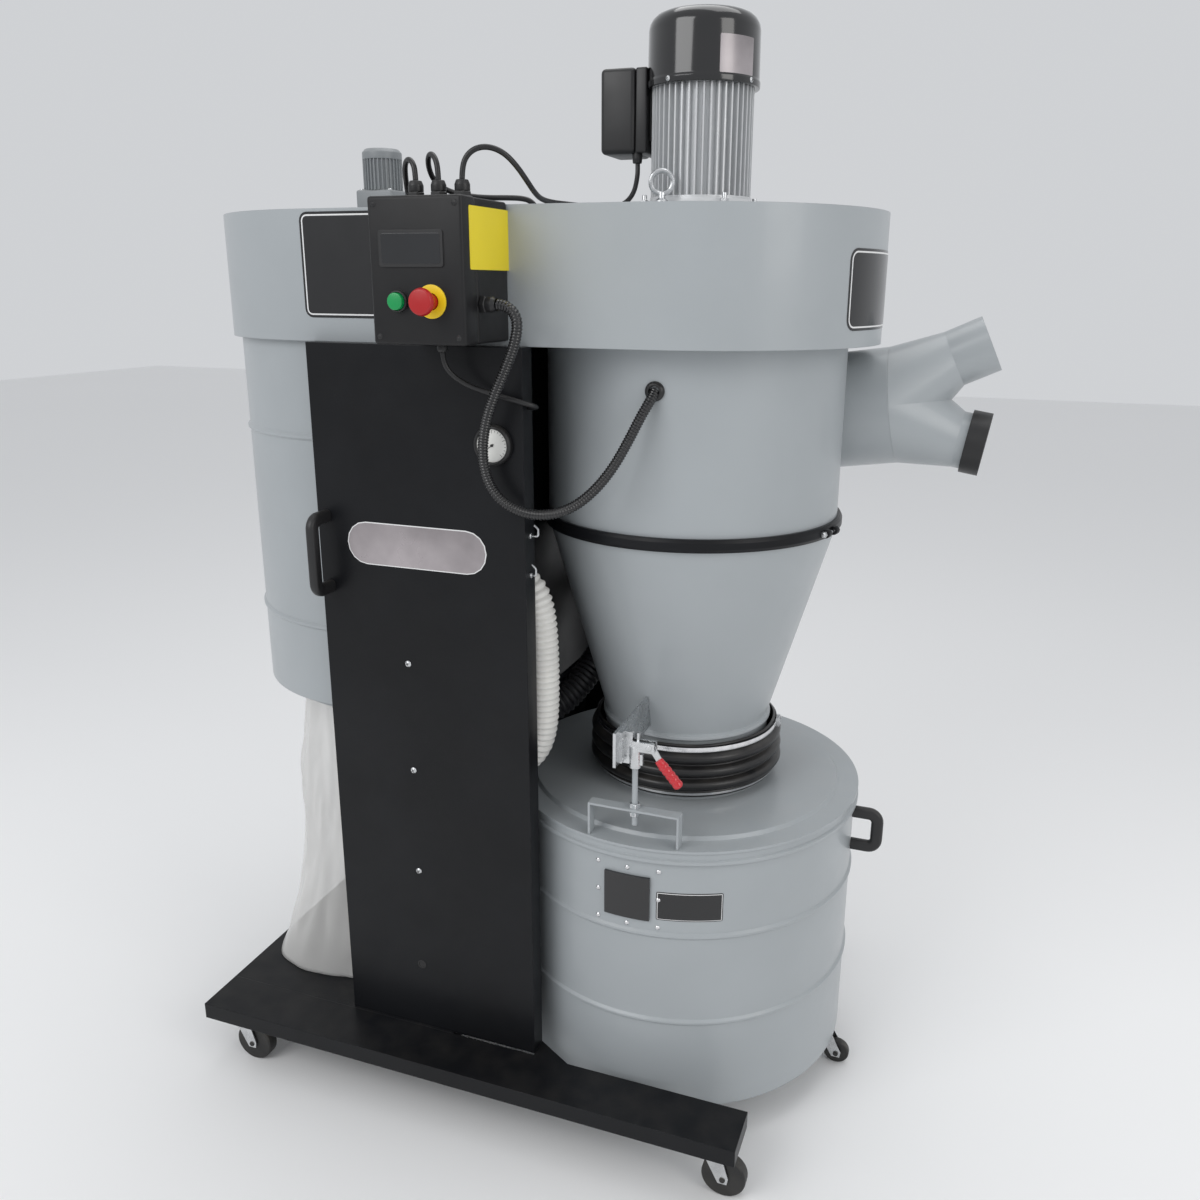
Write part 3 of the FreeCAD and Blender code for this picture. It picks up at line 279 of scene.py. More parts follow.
LABEL_GREY = surface("GreyFoil", (0.33, 0.3, 0.31), 0.3, metallic=0.3, coat=0.3, mottle=0.3,
                     mottle_size=7, edge=0.0003)
ENAMEL = surface("GreyEnamel", (0.23, 0.245, 0.255), 0.4, grain=0.3, grain_size=500, dust=0.1,
                 mottle=0.06, edge=0.001)
CASE = surface("ControlPaint", (0.011, 0.011, 0.012), 0.4, shine=0.3, grain=0.5, grain_size=900,
               dust=0.05, wear=0.25, wear_colour=(0.06, 0.06, 0.065), edge=0.0015)
NYLON = surface("RibbedNylon", (0.01, 0.01, 0.011), 0.22, coat=0.3, grain=0.1, dust=0.03)
SHEATH = surface("CableSheath", (0.01, 0.01, 0.011), 0.38, grain=0.15, grain_size=300, dust=0.04)
WHITE_HOSE = surface("WhiteHose", (0.74, 0.73, 0.7), 0.36, grain=0.2, grain_size=200, mottle=0.05,
                     mottle_size=12, dust=0.12)
# The rear hose is white like the front one: this dark copy of the hose finish is painted shade for
# the shadow it lies in.
PAINTED_SHADE_HOSE = surface("PaintedShadeHose", (0.03, 0.03, 0.034), 0.4, grain=0.2, grain_size=200, dust=0.1)
WINDOW = surface("SmokedPane", (0.004, 0.004, 0.005), 0.08, coat=0.5, mottle=0.2, edge=0.0006)
DISPLAY = surface("DisplayGlass", (0.01, 0.011, 0.013), 0.1, coat=0.4, mottle=0.2)
DIAL = surface("DialFace", (0.78, 0.78, 0.75), 0.4, mottle=0.02)
FILM = film()

NODE_FINISH = {
    GREY: "housing_skirt housing_roof housing_floor filter_barrel cyclone_barrel cyclone_cone "
          "inlet_duct inlet_wye drum_lid lid_bracket_front lid_bracket_rear drum_shell",
    BLACK: "front_rail rear_rail base_platform column_front column_rear column_web clamp_ring",
    PLASTIC: "drum_handle column_handle inlet_cap capacitor_box",
    GLOSS: "motor_cowl", SILVER: "motor_body", ENAMEL: "gearmotor", RUBBER: "bellows",
    ZINC: "clamp_front clamp_rear", FILM: "filter_bag", WINDOW: "drum_window", CASE: "control_box",
    RED: "clamp_handle_front clamp_handle_rear", RED_BUTTON: "stop_button", DIAL: "gauge",
    GREEN_BUTTON: "start_button", NYLON: "conduit", WHITE_HOSE: "hose_front",
    PAINTED_SHADE_HOSE: "hose_rear", SHEATH: "cable_motor cable_gearmotor cable_roof cable_below",
}


def finish_nodes():
    """Every CAD node takes its finish, whether it shows or a detailed piece stands for it."""
    chosen = {name: made for made, names in NODE_FINISH.items() for name in names.split()}
    for name in frame["nodes"]:
        if name not in chosen:
            chosen[name] = TYRE if "wheel" in name else ZINC
        node = bpy.data.objects[name]
        node.data.materials.clear()
        node.data.materials.append(chosen[name])


finish_nodes()

# ---- mesh helpers


def piece(name, points, faces, made, body="machine", sharp=32, place=None):
    """A mesh piece, smooth but for its real edges, riding on a body."""
    mesh = bpy.data.meshes.new(name)
    mesh.from_pydata([tuple(point) for point in points], [], faces)
    if place is not None:
        mesh.transform(place)
    mesh.validate()
    tidy = bmesh.new()
    tidy.from_mesh(mesh)
    bmesh.ops.recalc_face_normals(tidy, faces=tidy.faces)
    tidy.to_mesh(mesh)
    tidy.free()
    for face in mesh.polygons:
        face.use_smooth = True
    mesh.set_sharp_from_angle(angle=math.radians(sharp))
    mesh.materials.append(made)
    item = linked(name, mesh)
    if body:
        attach(item, body)
    return item


def merged(name, items, body="machine"):
    """Several pieces made into one, each keeping its own finish."""
    whole = bmesh.new()
    mesh = bpy.data.meshes.new(name)
    finishes = []
    for item in items:
        part = item.data.copy()
        part.transform(item.matrix_world)
        made = item.data.materials[0]
        if made not in finishes:
            finishes.append(made)
        for face in part.polygons:
            face.material_index = finishes.index(made)
        whole.from_mesh(part)
        bpy.data.meshes.remove(part)
        bpy.data.objects.remove(item)
    whole.to_mesh(mesh)
    whole.free()
    for made in finishes:
        mesh.materials.append(made)
    result = linked(name, mesh)
    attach(result, body)
    return result


def arc(before, corner, after, radius, steps):
    """The points of the arc that rounds a corner."""
    back = (before - corner).normalized()
    ahead = (after - corner).normalized()
    half = back.angle(ahead) / 2
    centre = corner + (back + ahead).normalized() * (radius / math.sin(half))
    start = corner + back * (radius / math.tan(half)) - centre
    finish = corner + ahead * (radius / math.tan(half)) - centre
    return [centre + start.slerp(finish, step / steps) * start.length
            for step in range(steps + 1)]


def rounded(corners, closed=False):
    """Corners (across, up, radius), each turned into an arc of its radius."""
    flat = [Vector((across, up, 0)) for across, up, _ in corners]
    result = []
    for number, (_, _, radius) in enumerate(corners):
        after = (number + 1) % len(flat)
        if radius == 0 or not closed and after in (0, 1):
            result.append(flat[number])
        else:
            result += arc(flat[number - 1], flat[number], flat[after], radius, 4)
    return [point.xy for point in result]


def aimed(point, direction):
    """A frame at a point, with its own Z along a direction."""
    turn = Vector(direction).to_track_quat("Z", "Y").to_matrix().to_4x4()
    return Matrix.Translation(Vector(point)) @ turn


AXIS = 0.0005  # a solid turned piece starts and ends this close to its axis


def strips(rows, width, closed=False):
    """Faces between rows of points that run right round; closed, the last row meets the first."""
    faces = []
    for row in range(rows if closed else rows - 1):
        here, there = row * width, (row + 1) % rows * width
        for number in range(width):
            after = (number + 1) % width
            faces.append((here + number, here + after, there + after, there + number))
    return faces


def caps(rows, width):
    """The faces that fill the first row and the last."""
    return [tuple(range(width)), tuple(range((rows - 1) * width, rows * width))]


def turned(name, corners, place, made, body="machine", segments=96, closed=False, wobble=None):
    """A turned piece from (radius, height, corner radius) corners about its own Z axis."""
    profile = rounded(corners, closed)
    points = []
    for radius, up in profile:
        for number in range(segments):
            angle = 2 * math.pi * number / segments
            reach = radius + (wobble(angle, up) if wobble else 0)
            points.append((reach * math.cos(angle), reach * math.sin(angle), up))
    faces = strips(len(profile), segments, closed)
    if not closed:
        faces += caps(len(profile), segments)
    if not isinstance(place, Matrix):
        place = Matrix.Translation(Vector(place))
    return piece(name, points, faces, made, body, place=place)


def pin(name, radius, half, edge, place, made, segments=16):
    """A short round bar, half its length to each side of its place."""
    return turned(name, [(AXIS, -half, 0), (radius, -half, edge), (radius, half, edge),
                         (AXIS, half, 0)], place, made, segments=segments)


def band(name, radius, thick, height, edge, place, made, body="machine"):
    """A thin hoop that stands on its place."""
    inner = radius - thick
    return turned(name, [(inner, 0, 0), (radius, 0, edge), (radius, height, edge),
                         (inner, height, 0)], place, made, body, closed=True, segments=128)


def block(name, corner_low, corner_high, made, radius, steps=3, place=None):
    """A box with rounded edges."""
    mesh = bmesh.new()
    bmesh.ops.create_cube(mesh, size=1)
    span = Vector(corner_high) - Vector(corner_low)
    centre = (Vector(corner_high) + Vector(corner_low)) / 2
    for point in mesh.verts:
        point.co = Vector([point.co[axis] * span[axis] + centre[axis] for axis in range(3)])
    bmesh.ops.bevel(mesh, geom=mesh.edges, offset=min(radius, min(span) * 0.45), segments=steps,
                    profile=0.5, affect="EDGES")
    points = [point.co.copy() for point in mesh.verts]
    faces = [tuple(point.index for point in face.verts) for face in mesh.faces]
    mesh.free()
    return piece(name, points, faces, made, place=place)


def prism(name, outline, depth, place, made, body="machine", edge=0.0):
    """A flat plate cut to an outline in its own XY plane, with a softened front edge."""
    count = len(outline)
    centre = sum((Vector(point[:2]) for point in outline), Vector((0, 0))) / count
    rows = [(0.0, 0.0), (depth - edge, 0.0), (depth, edge)] if edge else [(0.0, 0.0), (depth, 0.0)]
    points = []
    for height, inset in rows:
        for point in outline:
            spoke = Vector(point[:2]) - centre
            pulled = centre + spoke * (1 - inset / max(spoke.length, 1e-6))
            points.append((pulled.x, pulled.y, height))
    first, last = caps(len(rows), count)
    faces = [first[::-1], last] + strips(len(rows), count)
    return piece(name, points, faces, made, body, place=place)


def rectangle(width, height, radius):
    return rounded([(-width / 2, -height / 2, radius), (width / 2, -height / 2, radius),
                    (width / 2, height / 2, radius), (-width / 2, height / 2, radius)], closed=True)


def swept(name, line, section, made, up=UP, closed=False, scales=None):
    """A section carried along a line of points without twisting."""
    line = [Vector(point) for point in line]
    count = len(line)
    points = []
    side_before = None
    for number, point in enumerate(line):
        after = line[(number + 1) % count] if closed or number < count - 1 else point
        before = line[number - 1] if closed or number > 0 else point
        along = (after - before).normalized()
        if side_before is None:
            side = along.cross(Vector(up)).normalized()
        else:
            side = (side_before - along * side_before.dot(along)).normalized()
        side_before = side
        rise = side.cross(along)
        size = scales[number] if scales else 1
        points += [point + side * a * size + rise * b * size for a, b in section]
    faces = strips(count, len(section), closed)
    if not closed:
        faces += caps(count, len(section))
    return piece(name, points, faces, made)


def circle(radius, count=16):
    return [(radius * math.cos(2 * math.pi * n / count), radius * math.sin(2 * math.pi * n / count))
            for n in range(count)]


def bent(corners, steps=6):
    """A line through 3-D corners (point, radius), each corner turned into an arc."""
    points = [Vector(point) for point, _ in corners]
    result = [points[0]]
    for number in range(1, len(points) - 1):
        result += arc(*points[number - 1:number + 2], corners[number][1], steps)
    return result + [points[-1]]


def bearing(degrees):
    """The level direction at an azimuth."""
    turn = math.radians(degrees)
    return Vector((math.cos(turn), math.sin(turn), 0))


def screw_head(name, point, normal, radius, made=ZINC, slot=True):
    """A domed screw head with a cross recess."""
    place = aimed(point, normal)
    dome = turned(name, [
        (radius, -0.0005, 0), (radius, radius * 0.22, radius * 0.1),
        (radius * 0.62, radius * 0.56, radius * 0.3), (radius * 0.05, radius * 0.62, 0)],
        place, made, segments=20)
    if not slot:
        return dome
    parts = [dome]
    long, narrow = radius * 0.5, radius * 0.1
    for turn in (0.4, 0.4 + math.pi / 2):
        bar = place @ Matrix.Rotation(turn, 4, "Z")
        parts.append(block(name + "Slot%.0f" % (turn * 10), (-long, -narrow, radius * 0.3),
                           (long, narrow, radius * 0.64), PLASTIC, 0.0001, steps=1, place=bar))
    return merged(name, parts)


def hex_nut(name, point, normal, across, thick, made=ZINC, body="machine"):
    reach = across / 2 / math.cos(math.pi / 6)
    outline = [(reach * math.cos(math.pi / 3 * n), reach * math.sin(math.pi / 3 * n))
               for n in range(6)]
    return prism(name, outline, thick, aimed(point, normal), made, body, edge=thick * 0.18)


# ---- cords

# Each route is the one that the CAD tube follows, in millimetres from the wheeled base's middle.
BASE_MIDDLE = Vector((-0.120, 0.029, 0))
ROUTES = {
    "conduit": [
        (125, -405, 1478), (136, -405, 1477), (146, -404.5, 1472.5), (153, -403.5, 1464),
        (155.5, -402, 1453), (153, -399.5, 1437), (145, -396, 1415), (130, -391.5, 1386),
        (111, -387, 1352), (94, -383, 1316), (83, -379, 1278), (80, -375, 1240), (88, -371, 1204),
        (110, -367.5, 1177), (146, -363, 1162), (186, -356, 1162), (224, -346, 1178),
        (254, -334, 1206), (277, -320, 1240), (294, -305, 1277), (308, -289, 1313),
        (319, -275.5, 1337), (321, -261.2, 1349)],
    "hose_front": [
        (57, -265, 1030), (86, -265, 1026.5), (110, -265.5, 1008), (122, -266, 976),
        (127, -266, 928), (128.5, -266, 868), (128, -266, 808), (124, -266, 756), (110, -266, 716),
        (80, -265.5, 688), (36, -265, 673), (-13, -265, 668)],
    "hose_rear": [
        (57, 240, 905), (83, 239.5, 904), (109, 229, 898), (127, 208, 886), (133, 174, 864),
        (126, 130, 835), (116, 84, 803), (104, 38, 769), (88, -6, 736), (64, -42, 708),
        (28, -64, 691), (-13, -72, 684)],
    "cable_motor": [
        (74, -402, 1649), (74.5, -401.5, 1665), (81, -399.5, 1681), (95, -395, 1691),
        (113, -388, 1692), (130, -378, 1684), (142, -364, 1668), (149, -346, 1650),
        (150, -322, 1636), (147, -292, 1629), (147, -256, 1627), (154, -214, 1627),
        (167, -168, 1627), (184, -122, 1627), (202, -80, 1632), (211, -50, 1652), (212, -34, 1680),
        (211, -30, 1700), (210, -30, 1716)],
    "cable_gearmotor": [
        (-1, -402, 1649), (-1.5, -401.5, 1663), (-6.5, -399, 1674), (-15, -394, 1679),
        (-24, -387, 1677), (-31, -379, 1669.5), (-36, -370, 1658.5), (-42, -358, 1647.5),
        (-52, -339, 1638.5), (-68, -310, 1632), (-92, -276, 1628), (-122, -240, 1627),
        (-156, -204, 1627), (-190, -168, 1629), (-218, -136, 1633), (-236, -110, 1638),
        (-243, -91, 1640), (-245, -82.4, 1640)],
    "cable_roof": [
        (36, -402, 1649), (35.5, -401.5, 1664), (31, -398.5, 1677), (23, -393, 1684.5),
        (14, -386, 1685), (7, -378, 1678), (4, -370, 1666.5), (5, -360, 1653.5), (11, -345, 1643),
        (23, -326, 1636.5), (42, -310, 1633), (66, -301, 1631.5), (92, -295, 1631.5),
        (113, -289, 1631), (127, -284, 1627.5), (132, -282, 1621)],
    "cable_below": [
        (22, -384, 1407), (22.5, -383, 1393), (28, -379, 1379), (40, -373, 1366.5),
        (57, -366, 1356), (79, -359, 1348), (103, -354, 1341), (124, -351, 1336), (141, -346, 1331),
        (151, -337, 1327), (151, -327, 1324), (143, -321.5, 1322.5), (133, -320, 1322)],
}


def route(name):
    """The cord's points in metres."""
    return [Vector([number / 1000 for number in point]) + BASE_MIDDLE for point in ROUTES[name]]


def cord_end(name, end):
    """Where a cord starts (0) or ends (-1)."""
    return route(name)[end]


def route_curve(name, points, radius=0.0):
    """One smooth NURBS line with the route's points as its control points."""
    data = bpy.data.curves.new(name, "CURVE")
    data.dimensions = "3D"
    data.bevel_depth = radius
    data.bevel_resolution = 6
    data.use_fill_caps = radius > 0
    data.resolution_u = 12
    spline = data.splines.new("NURBS")
    spline.points.add(len(points) - 1)
    for control, point in zip(spline.points, points):
        control.co = (*point, 1)
    spline.order_u = 3
    spline.use_endpoint_u = True
    return linked(name, data)


def plain_cord(name, diameter, made):
    item = route_curve(name + "_cord", route(name), diameter / 2)
    item.data.materials.append(made)
    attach(item, "machine")
    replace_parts(item, name)


def ribbed_cord(name, diameter, pitch, groove, made):
    """A corrugated tube: its radius rises and falls once for each rib along the smooth line."""
    guide = route_curve(name + "_guide", route(name))
    bpy.context.view_layer.update()
    mesh = bpy.data.meshes.new_from_object(guide)
    line = [point.co.copy() for point in mesh.vertices]
    bpy.data.meshes.remove(mesh)
    bpy.data.objects.remove(guide)
    travelled = [0.0]
    for before, after in zip(line, line[1:]):
        travelled.append(travelled[-1] + (after - before).length)
    ribs = round(travelled[-1] / pitch)
    per_rib = 6
    path = []
    scales = []
    span = 0
    for number in range(ribs * per_rib + 1):
        goal = travelled[-1] * number / (ribs * per_rib)
        while span < len(line) - 2 and travelled[span + 1] < goal:
            span += 1
        share = (goal - travelled[span]) / max(travelled[span + 1] - travelled[span], 1e-9)
        path.append(line[span].lerp(line[span + 1], min(share, 1)))
        wave = 0.5 - 0.5 * math.cos(2 * math.pi * number / per_rib)
        scales.append(1 - groove * (1 - wave ** 0.7) / (diameter / 2))
    item = swept(name + "_cord", path, circle(diameter / 2, 28), made, scales=scales)
    item.data.set_sharp_from_angle(angle=math.radians(60))
    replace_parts(item, name)


ribbed_cord("conduit", 0.017, 0.0046, 0.0014, NYLON)
ribbed_cord("hose_front", 0.058, 0.0105, 0.004, WHITE_HOSE)
# The rear hose takes the painted-shade copy of the white hose finish.
ribbed_cord("hose_rear", 0.058, 0.0105, 0.004, PAINTED_SHADE_HOSE)
plain_cord("cable_motor", 0.008, SHEATH)
plain_cord("cable_gearmotor", 0.008, SHEATH)
plain_cord("cable_roof", 0.008, SHEATH)
plain_cord("cable_below", 0.008, SHEATH)

# ---- blank plates and bands


def plate(name, centre, size, corner, out, made, thick=0.0008):
    """A thin flat plate with rounded corners, lying against a face that looks along out."""
    return prism(name, rectangle(*size, corner), thick, aimed(centre, out), made)


def wrapped(name, centre, radius, azimuths, heights, made, corner=0.0, lift=0.0):
    """A thin plate bent round a vertical axis between two azimuths, in degrees."""
    start, end = [math.radians(angle) for angle in azimuths]
    arc = (end - start) * radius
    columns = 40
    points = []
    for depth in (lift, lift + 0.0005):
        for number in range(columns + 1):
            share = 0.5 - 0.5 * math.cos(math.pi * number / columns)
            near = min(share * arc, arc - share * arc)
            inset = 0.0
            if near < corner:
                inset = corner - math.sqrt(corner ** 2 - (corner - near) ** 2)
            angle = start + (end - start) * share
            reach = radius + depth
            for height in (heights[0] + inset, heights[1] - inset):
                points.append((centre.x + reach * math.cos(angle),
                               centre.y + reach * math.sin(angle), height))
    back = 2 * (columns + 1)
    faces = []
    for number in range(columns):
        a, b = 2 * number, 2 * number + 2
        faces += [(a, b, b + 1, a + 1), (back + a, back + b, back + b + 1, back + a + 1),
                  (a, b, back + b, back + a), (a + 1, b + 1, back + b + 1, back + a + 1)]
    last = 2 * columns
    faces += [(0, 1, back + 1, back), (last, last + 1, back + last + 1, back + last)]
    return piece(name, points, faces, made)


def lined_plate(name, centre, size, corner, out):
    """A blank black plate with a white line inside its edge."""
    layers = ((0.0, LABEL_BLACK), (0.004, LABEL_WHITE), (0.0065, LABEL_BLACK))
    parts = []
    for number, (inset, made) in enumerate(layers):
        inner = (size[0] - 2 * inset, size[1] - 2 * inset)
        parts.append(plate("%s%d" % (name, number), centre, inner, max(corner - inset, 0.002), out,
                           made, 0.0006 + 0.0003 * number))
    return merged(name, parts)


def lined_wrap(name, centre, radius, azimuths, heights, corner, line=0.0025, margin=0.004):
    """The same blank plate, bent round a vertical axis."""
    parts = []
    for number, (inset, made) in enumerate(((0.0, LABEL_BLACK), (margin, LABEL_WHITE),
                                            (margin + line, LABEL_BLACK))):
        turn = math.degrees(inset / radius)
        parts.append(wrapped("%s%d" % (name, number), centre, radius,
                             (azimuths[0] + turn, azimuths[1] - turn),
                             (heights[0] + inset, heights[1] - inset), made,
                             max(corner - inset, 0.001), 0.0003 * number))
    return merged(name, parts)


def fluted(name, centre, core, rim, fins, heights, made, tip=0.0013):
    """An extruded body with straight cooling fins all round."""
    outline = []
    for number in range(fins):
        angle = 2 * math.pi * number / fins
        for radius, half in ((core, 1.8 * tip), (rim, tip), (rim, -tip), (core, -1.8 * tip)):
            turn = angle - half / radius
            outline.append((radius * math.cos(turn), radius * math.sin(turn)))
    place = Matrix.Translation((centre.x, centre.y, heights[0]))
    return prism(name, outline, heights[1] - heights[0], place, made)


def ring(name, centre, radius, wire, normal, made):
    """A closed round ring of wire."""
    place = aimed(centre, normal)
    line = [place @ Vector((radius * math.cos(a), radius * math.sin(a), 0))
            for a in [2 * math.pi * number / 36 for number in range(36)]]
    return swept(name, line, circle(wire, 10), made, up=normal, closed=True)


# ---- blower motor

MOTOR = Vector((CYCLONE.x, MID_Y, HEAD_TOP))
COWL_LOW = low("motor_cowl").z
COWL_TOP = high("motor_cowl").z
FIN_RIM = 0.084
FLANGE = 0.012
EYE_BOLT = (0.157, -0.075)


def motor():
    flange = MOTOR.z + FLANGE
    parts = [
        fluted("MotorFins", MOTOR, 0.0735, FIN_RIM, 44, (flange + 0.012, COWL_LOW + 0.02), SILVER),
        turned("MotorFlange", [
            (AXIS, 0, 0), (0.112, 0, 0.002), (0.112, FLANGE, 0.002), (0.09, FLANGE, 0.004),
            (0.0855, 0.022, 0.004), (0.0855, 0.026, 0.001), (0.074, 0.026, 0)], MOTOR, SILVER),
        turned("MotorNeck", [
            (0.073, 0, 0), (0.0825, 0, 0.001), (0.0825, 0.012, 0.001), (0.073, 0.012, 0)],
            (MOTOR.x, MOTOR.y, COWL_LOW + 0.008), SILVER)]
    for azimuth in (-52, 38, 128, 218):
        seat = MOTOR + bearing(azimuth) * 0.1 + Vector((0, 0, FLANGE - 0.0005))
        parts.append(hex_nut("FlangeNut%d" % azimuth, seat, UP, 0.013, 0.0085))
        parts.append(turned("FlangeStud%d" % azimuth, [
            (0.004, 0, 0), (0.004, 0.017, 0.001), (AXIS, 0.017, 0)], seat, ZINC, segments=16))
    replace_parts(merged("MotorFrame", parts), "motor_body")

    height = COWL_TOP - COWL_LOW
    cowl = turned("MotorCowl", [
        (0.0846, 0, 0), (0.0925, 0, 0.0015), (0.093, 0.009, 0.002), (0.0915, 0.013, 0.004),
        (0.0905, height - 0.01, 0.026), (0.05, height, 0.06), (AXIS, height, 0)],
        (MOTOR.x, MOTOR.y, COWL_LOW), GLOSS, segments=128)
    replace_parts(cowl, "motor_cowl")
    wrapped("MotorPlate", MOTOR, 0.0913, (-59, -17), (1.826, 1.881), LABEL_GREY, 0.002)
    for azimuth in (-112, -20, 70, 160):
        out = bearing(azimuth)
        seat = MOTOR + out * 0.0924 + Vector((0, 0, COWL_LOW - MOTOR.z + 0.006))
        screw_head("CowlScrew%d" % azimuth, seat, out, 0.0042)


def capacitor():
    """The capacitor's box: shell, back, the foot that meets the motor, and its cable's gland."""
    box_low, box_high = low("capacitor_box"), high("capacitor_box")
    half = box_high.x - 0.022

    def within(x_low, x_high, inset):
        return ((x_low, box_low.y + inset, box_low.z + inset),
                (x_high, box_high.y - inset, box_high.z - inset))

    shell = [block("CapacitorShell", *within(box_low.x, half, 0), PLASTIC, 0.008, steps=4),
             block("CapacitorBack", *within(half + 0.0006, box_high.x - 0.002, 0.001), PLASTIC,
                   0.003),
             block("CapacitorFoot", *within(box_high.x - 0.03, box_high.x + 0.004, 0.02), PLASTIC,
                   0.002)]
    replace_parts(merged("CapacitorBox", shell), "capacitor_box")
    turned("CapacitorGland", [
        (0.0048, -0.014, 0), (0.0075, -0.014, 0.001), (0.0085, -0.006, 0.001),
        (0.0085, 0.003, 0), (0.0048, 0.003, 0)], cord_end("cable_motor", -1), PLASTIC, segments=24)


def eye_bolt():
    eye = Vector((*EYE_BOLT, HEAD_TOP + 0.012))
    merged("EyeBolt", [
        ring("EyeRing", eye + Vector((0, 0, 0.032)), 0.0175, 0.0042, (0.35, -0.94, 0), ZINC),
        turned("EyeFoot", [
            (AXIS, 0, 0), (0.012, 0, 0.002), (0.011, 0.004, 0.002), (0.0055, 0.008, 0.002),
            (0.005, 0.017, 0), (AXIS, 0.017, 0)], eye, ZINC, segments=24)])


motor()
capacitor()
eye_bolt()

# ---- gearmotor over the filter


GEAR_HALF = 0.037
GEAR_HEIGHT = 0.046


def gearmotor():
    centre = Vector((FILTER.x, low("gearmotor").y + GEAR_HALF, HEAD_TOP))
    can = Vector((FILTER.x, MID_Y - 0.055, 0))
    case_top = HEAD_TOP + GEAR_HEIGHT
    cap_foot = high("gearmotor").z - 0.018
    parts = [block("GearCase", (centre.x - GEAR_HALF, centre.y - GEAR_HALF, HEAD_TOP),
                   (centre.x + GEAR_HALF, centre.y + GEAR_HALF, case_top), ENAMEL, 0.004),
             fluted("GearFins", can, 0.0315, 0.035, 30, (case_top, cap_foot), ENAMEL, 0.001),
             turned("GearCap", [
                 (0.03, 0, 0), (0.0352, 0, 0.001), (0.0352, 0.012, 0.003), (0.0295, 0.018, 0.003),
                 (AXIS, 0.018, 0)], (can.x, can.y, cap_foot), ENAMEL)]
    for across in (-0.029, 0.029):
        for along in (-0.029, 0.029):
            seat = (centre.x + across, centre.y + along, case_top)
            parts.append(screw_head("GearScrew%d%d" % (across * 1000, along * 1000), seat, UP,
                                    0.004, slot=False))
    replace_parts(merged("GearMotor", parts), "gearmotor")


gearmotor()

# ---- plates on the head

HEAD_FACE = MID_Y - HEAD_RADIUS
lined_plate("HeadPlate", (-0.2685, HEAD_FACE, 1.534), (0.239, 0.164), 0.014, FRONT)
lined_wrap("HeadEndPlate", CYCLONE, HEAD_RADIUS, (-28, 30), (1.440, 1.562), 0.018)

# ---- control box and gauge

BOX_LEFT, BOX_RIGHT = -0.169, -0.018
BOX_FRONT, BOX_BACK = -0.431, HEAD_FACE
BOX_LOW, BOX_TOP = 1.421, 1.625
BUTTON_LEVEL = middle("start_button").z
START_X = middle("start_button").x
STOP_X = middle("stop_button").x


DISPLAY_X, DISPLAY_LEVEL = -0.1, 1.554


def gland(name, seat, out, height, radius=0.012, cord=0.0043):
    """A cable gland: hexagonal foot, nut and a domed mouth that grips the cord."""
    foot = height * 0.35
    nut = [(cord, foot, 0), (radius * 0.93, foot, 0.0008), (radius * 0.93, height * 0.72, 0.001),
           (radius * 0.72, height * 0.98, 0.002), (cord + 0.0006, height, 0.001), (cord, height, 0)]
    return [hex_nut(name + "Foot", seat, out, radius * 1.9, foot, PLASTIC),
            turned(name + "Nut", nut, aimed(seat, out), PLASTIC, segments=32)]


def control_box():
    seam = BOX_FRONT + 0.042
    parts = [block("ControlBody", (BOX_LEFT + 0.0012, seam + 0.001, BOX_LOW + 0.0012),
                   (BOX_RIGHT - 0.0012, BOX_BACK, BOX_TOP - 0.0012), CASE, 0.004),
             block("ControlCover", (BOX_LEFT, BOX_FRONT, BOX_LOW), (BOX_RIGHT, seam, BOX_TOP),
                   CASE, 0.005, steps=4)]
    for number, (across, up) in enumerate(((0, 0), (1, 0), (0, 1), (1, 1))):
        seat = (BOX_LEFT + 0.011 + across * (BOX_RIGHT - BOX_LEFT - 0.022), BOX_FRONT + 0.0006,
                BOX_LOW + 0.011 + up * (BOX_TOP - BOX_LOW - 0.022))
        parts.append(screw_head("CoverScrew%d" % number, seat, FRONT, 0.004, PLASTIC))
    for number, name in enumerate(("cable_gearmotor", "cable_roof", "cable_motor")):
        seat = cord_end(name, 0)
        seat.z = BOX_TOP
        parts += gland("TopGland%d" % number, seat, UP, 0.024)
    seat = cord_end("conduit", 0)
    seat.x = BOX_RIGHT
    parts += gland("SideGland", seat, (1, 0, 0), 0.023, 0.012, 0.0085)
    seat = cord_end("cable_below", 0)
    seat.z = BOX_LOW
    parts += gland("LowGland", seat, (0, 0, -1), 0.014, 0.009)
    parts.append(turned("StartRing", [
        (0.0128, 0, 0), (0.0155, 0, 0.001), (0.0155, 0.007, 0.002), (0.0128, 0.008, 0.0005)],
        aimed((START_X, BOX_FRONT, BUTTON_LEVEL), FRONT), PLASTIC, closed=True, segments=48))
    parts.append(turned("StopRing", [
        (0.0118, 0, 0), (0.0235, 0, 0.0005), (0.0235, 0.0026, 0.0006), (0.0118, 0.003, 0.0003)],
        aimed((STOP_X, BOX_FRONT, BUTTON_LEVEL), FRONT), YELLOW, closed=True, segments=64))
    parts.append(plate("DisplayFrame", (DISPLAY_X, BOX_FRONT, DISPLAY_LEVEL), (0.103, 0.050), 0.004,
                       FRONT, PLASTIC, 0.0022))
    parts.append(plate("DisplayGlass", (DISPLAY_X, BOX_FRONT - 0.0021, DISPLAY_LEVEL),
                       (0.094, 0.041), 0.003, FRONT, DISPLAY, 0.0004))
    parts.append(plate("SidePlate", (BOX_RIGHT, -0.3465, 1.569), (0.129, 0.086), 0.003, (1, 0, 0),
                       LABEL_YELLOW, 0.0006))
    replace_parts(merged("ControlBox", parts), "control_box")


